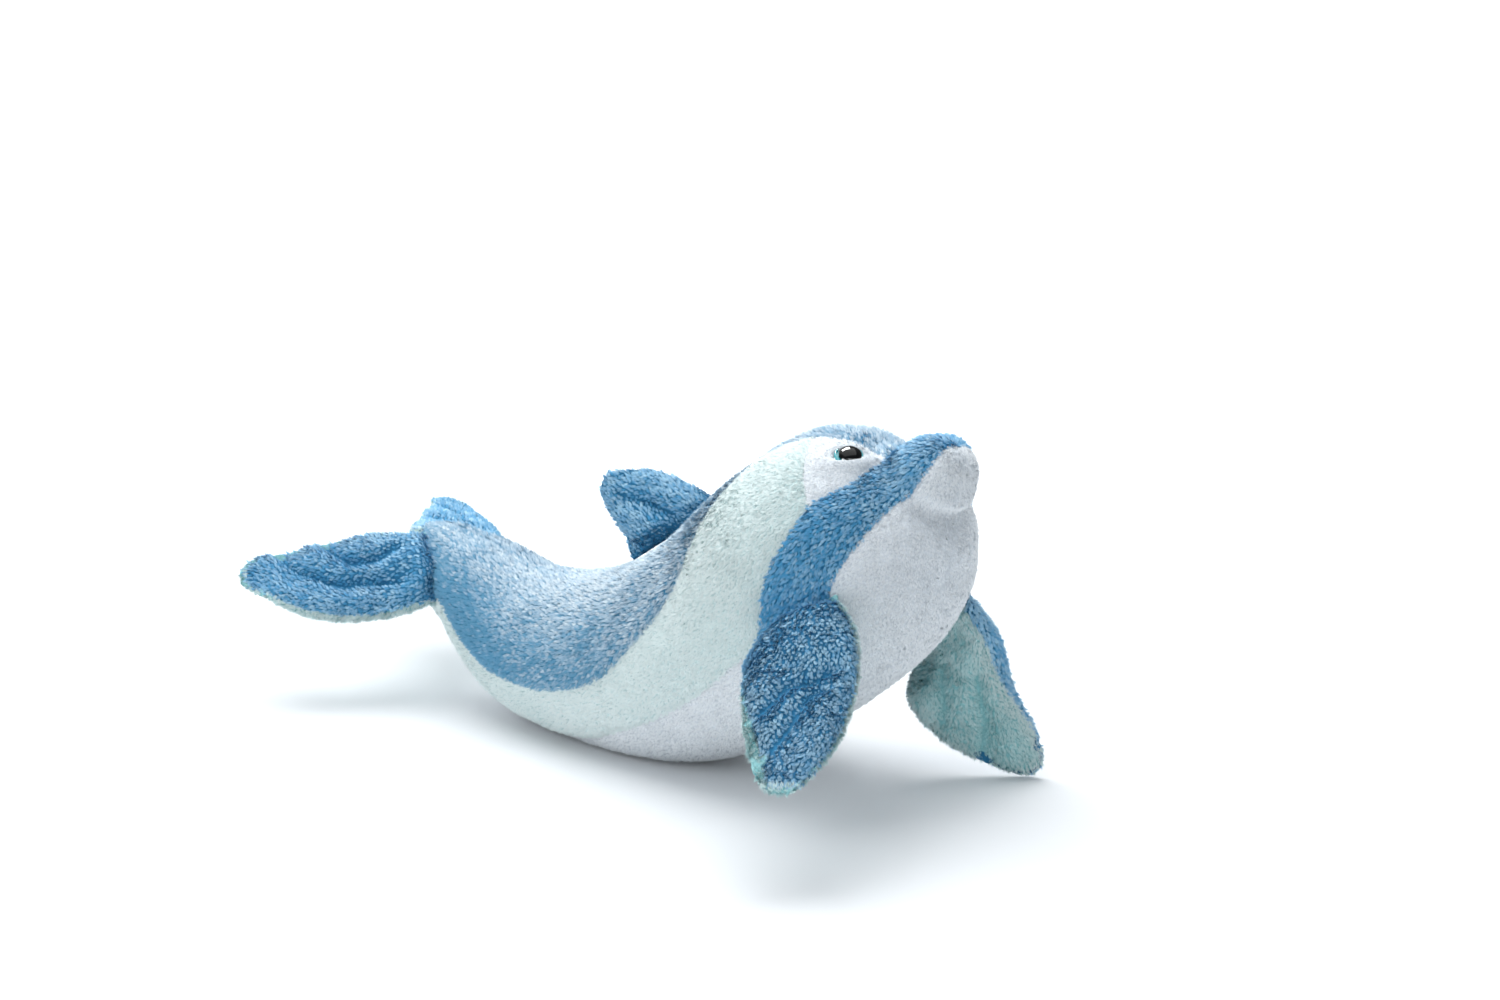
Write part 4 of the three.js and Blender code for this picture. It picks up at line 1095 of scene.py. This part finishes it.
# Half outlines in millimetres: radius from the eye's axis, and height over the skin
CUP = ((0, -9), (1.7, -9), (2, -8.6), (2, 0.3), (5.4, 0.3), (5.75, 0.4), (5.97, 0.75), (5.95, 1.2),
       (5.8, 1.65), (5.5, 1.95), (5.2, 2.0), (5.02, 1.9), (5, 1.3), (0, 1.3))
PUPIL_FOOT = ((0, 1.6), (4.5, 1.6), (4.7, 1.75))
PUPIL_RADIUS, DOME_START, DOME_RISE, DOME_STEPS, PUPIL_FORWARD = 4.7, 2.0, 1.9, 14, 0.6
for word, side in SIDES:
    seat = eye_seat(side)
    cup = turned_piece(f"eye_cup_{word}_moulded", CUP, seat)
    dome = list(PUPIL_FOOT)
    for k in range(1, DOME_STEPS + 1):
        turn = np.pi / 2 * k / DOME_STEPS
        radius = PUPIL_RADIUS * np.cos(turn) if k < DOME_STEPS else 0
        dome.append((radius, DOME_START + DOME_RISE * np.sin(turn)))
    pupil = turned_piece(f"eye_pupil_{word}_domed", dome, seat, PUPIL_FORWARD)
    for obj, node, slot, finish in ((cup, "eye_cup_" + word, "eye_iris", IRIS),
                                    (pupil, "eye_pupil_" + word, "eye_black", BLACK)):
        obj.data.materials.append(finish)
        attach(obj, "body")
        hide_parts(node)
    washer = frame["nodes"]["eye_washer_" + word]
    for place in washer.material_slots:
        place.material = WASHER

# Stage, light and camera

CAMERA_PLACE, CAMERA_AZIMUTH, CAMERA_ELEVATION = (0.7985, -0.9552, 0.4232), 37.4, 14.2
LENS, SENSOR = 70.56, 36
# How a bright pane stands before the nearer eye: how far up and left of the way out, and metres away.
PANE_UP, PANE_LEFT, PANE_AWAY = 0.42, 0.3, 0.8


def stage():
    deselect()
    bpy.ops.mesh.primitive_plane_add(size=12, location=(0, 0, -0.0002))
    floor = bpy.context.object
    floor.name = "floor"
    bpy.ops.object.transform_apply(location=True)
    mat, nodes, links, shader = new_material("pale_floor")
    give(shader, Base_Color=(0.86, 0.88, 0.9, 1), Roughness=0.9, Specular_IOR_Level=0)
    # Away from the toy the floor fades to the white of the backdrop.
    glow = nodes.new("ShaderNodeEmission")
    give(glow, Color=(1, 1, 1, 1))
    path, where = nodes.new("ShaderNodeLightPath"), nodes.new("ShaderNodeTexCoord")
    far, fade = nodes.new("ShaderNodeVectorMath"), nodes.new("ShaderNodeMapRange")
    seen = nodes.new("ShaderNodeMath")
    far.operation, seen.operation = "LENGTH", "MULTIPLY"
    fade.interpolation_type = "SMOOTHSTEP"
    give(fade, From_Min=0.2, From_Max=0.6, To_Min=0.02, To_Max=0.65)
    links.new(where.outputs["Object"], far.inputs[0])
    links.new(far.outputs["Value"], fade.inputs["Value"])
    links.new(path.outputs["Is Camera Ray"], seen.inputs[0])
    links.new(fade.outputs["Result"], seen.inputs[1])
    links.new(seen.outputs["Value"], glow.inputs["Strength"])
    both = nodes.new("ShaderNodeAddShader")
    links.new(shader.outputs["BSDF"], both.inputs[0])
    links.new(glow.outputs["Emission"], both.inputs[1])
    links.new(both.outputs["Shader"], nodes["Material Output"].inputs["Surface"])
    floor.data.materials.append(mat)

    world = bpy.data.worlds.new("studio")
    bpy.context.scene.world = world
    world.use_nodes = True
    nodes, links = world.node_tree.nodes, world.node_tree.links
    soft, white = nodes["Background"], nodes.new("ShaderNodeBackground")
    give(soft, Color=(0.93, 0.97, 1, 1), Strength=0.57)
    give(white, Strength=1, Color=(1, 1, 1, 1))
    path, either = nodes.new("ShaderNodeLightPath"), nodes.new("ShaderNodeMixShader")
    links.new(path.outputs["Is Camera Ray"], either.inputs["Fac"])
    links.new(soft.outputs["Background"], either.inputs[1])
    links.new(white.outputs["Background"], either.inputs[2])
    links.new(either.outputs["Shader"], nodes["World Output"].inputs["Surface"])


def softbox(name, place, towards, size, power, tint=(1, 1, 1)):
    lamp = bpy.data.lights.new(name, "AREA")
    lamp.shape = "RECTANGLE"
    lamp.size, lamp.size_y = size
    lamp.energy = power
    lamp.color = tint
    obj = bpy.data.objects.new(name, lamp)
    bpy.context.scene.collection.objects.link(obj)
    obj.location = place
    obj.rotation_euler = (Vector(towards) - Vector(place)).to_track_quat("-Z", "Y").to_euler()
    return obj


stage()
softbox("overhead", (-0.15, 0.1, 1.4), (0.0, 0, 0.05), (1.4, 1.1), 18.5)
softbox("front", (-0.1, -1.5, 0.9), (0.02, 0, 0.07), (1.4, 1.2), 4.5)
softbox("tail_side", (-1.3, 0.15, 1.0), (0.02, 0, 0.08), (1.2, 1.0), 5)
# A bright pane that only gloss mirrors, up and to the left of the nearer eye as the camera sees it.
eye, _, _, eye_out = eye_seat(-1)
sight = unit(np.array(CAMERA_PLACE) / MM - eye)
up, rightward = np.array((0, 0, 1.0)), np.array((0.79, 0.61, 0))
facing = unit(eye_out + PANE_UP * up - PANE_LEFT * rightward)
mirrored = 2 * (facing @ sight) * facing - sight
pane = softbox("window", tuple(eye * MM + PANE_AWAY * mirrored), tuple(eye * MM), (0.36, 0.2), 36)
pane.visible_diffuse = False

azimuth, elevation = np.radians(CAMERA_AZIMUTH), np.radians(CAMERA_ELEVATION)
level = np.cos(elevation)
back = Vector((np.sin(azimuth) * level, -np.cos(azimuth) * level, np.sin(elevation)))
right = Vector((np.cos(azimuth), np.sin(azimuth), 0))
lens = bpy.data.cameras.new("camera")
lens.lens, lens.sensor_width, lens.sensor_fit = LENS, SENSOR, "HORIZONTAL"
lens.clip_start, lens.clip_end = 0.05, 50
camera = bpy.data.objects.new("camera", lens)
bpy.context.scene.collection.objects.link(camera)
turn = Matrix((right, back.cross(right), back)).transposed().to_4x4()
camera.matrix_world = Matrix.Translation(CAMERA_PLACE) @ turn
bpy.context.scene.camera = camera
bpy.context.scene.view_settings.view_transform = "Standard"

bpy.context.view_layer.update()
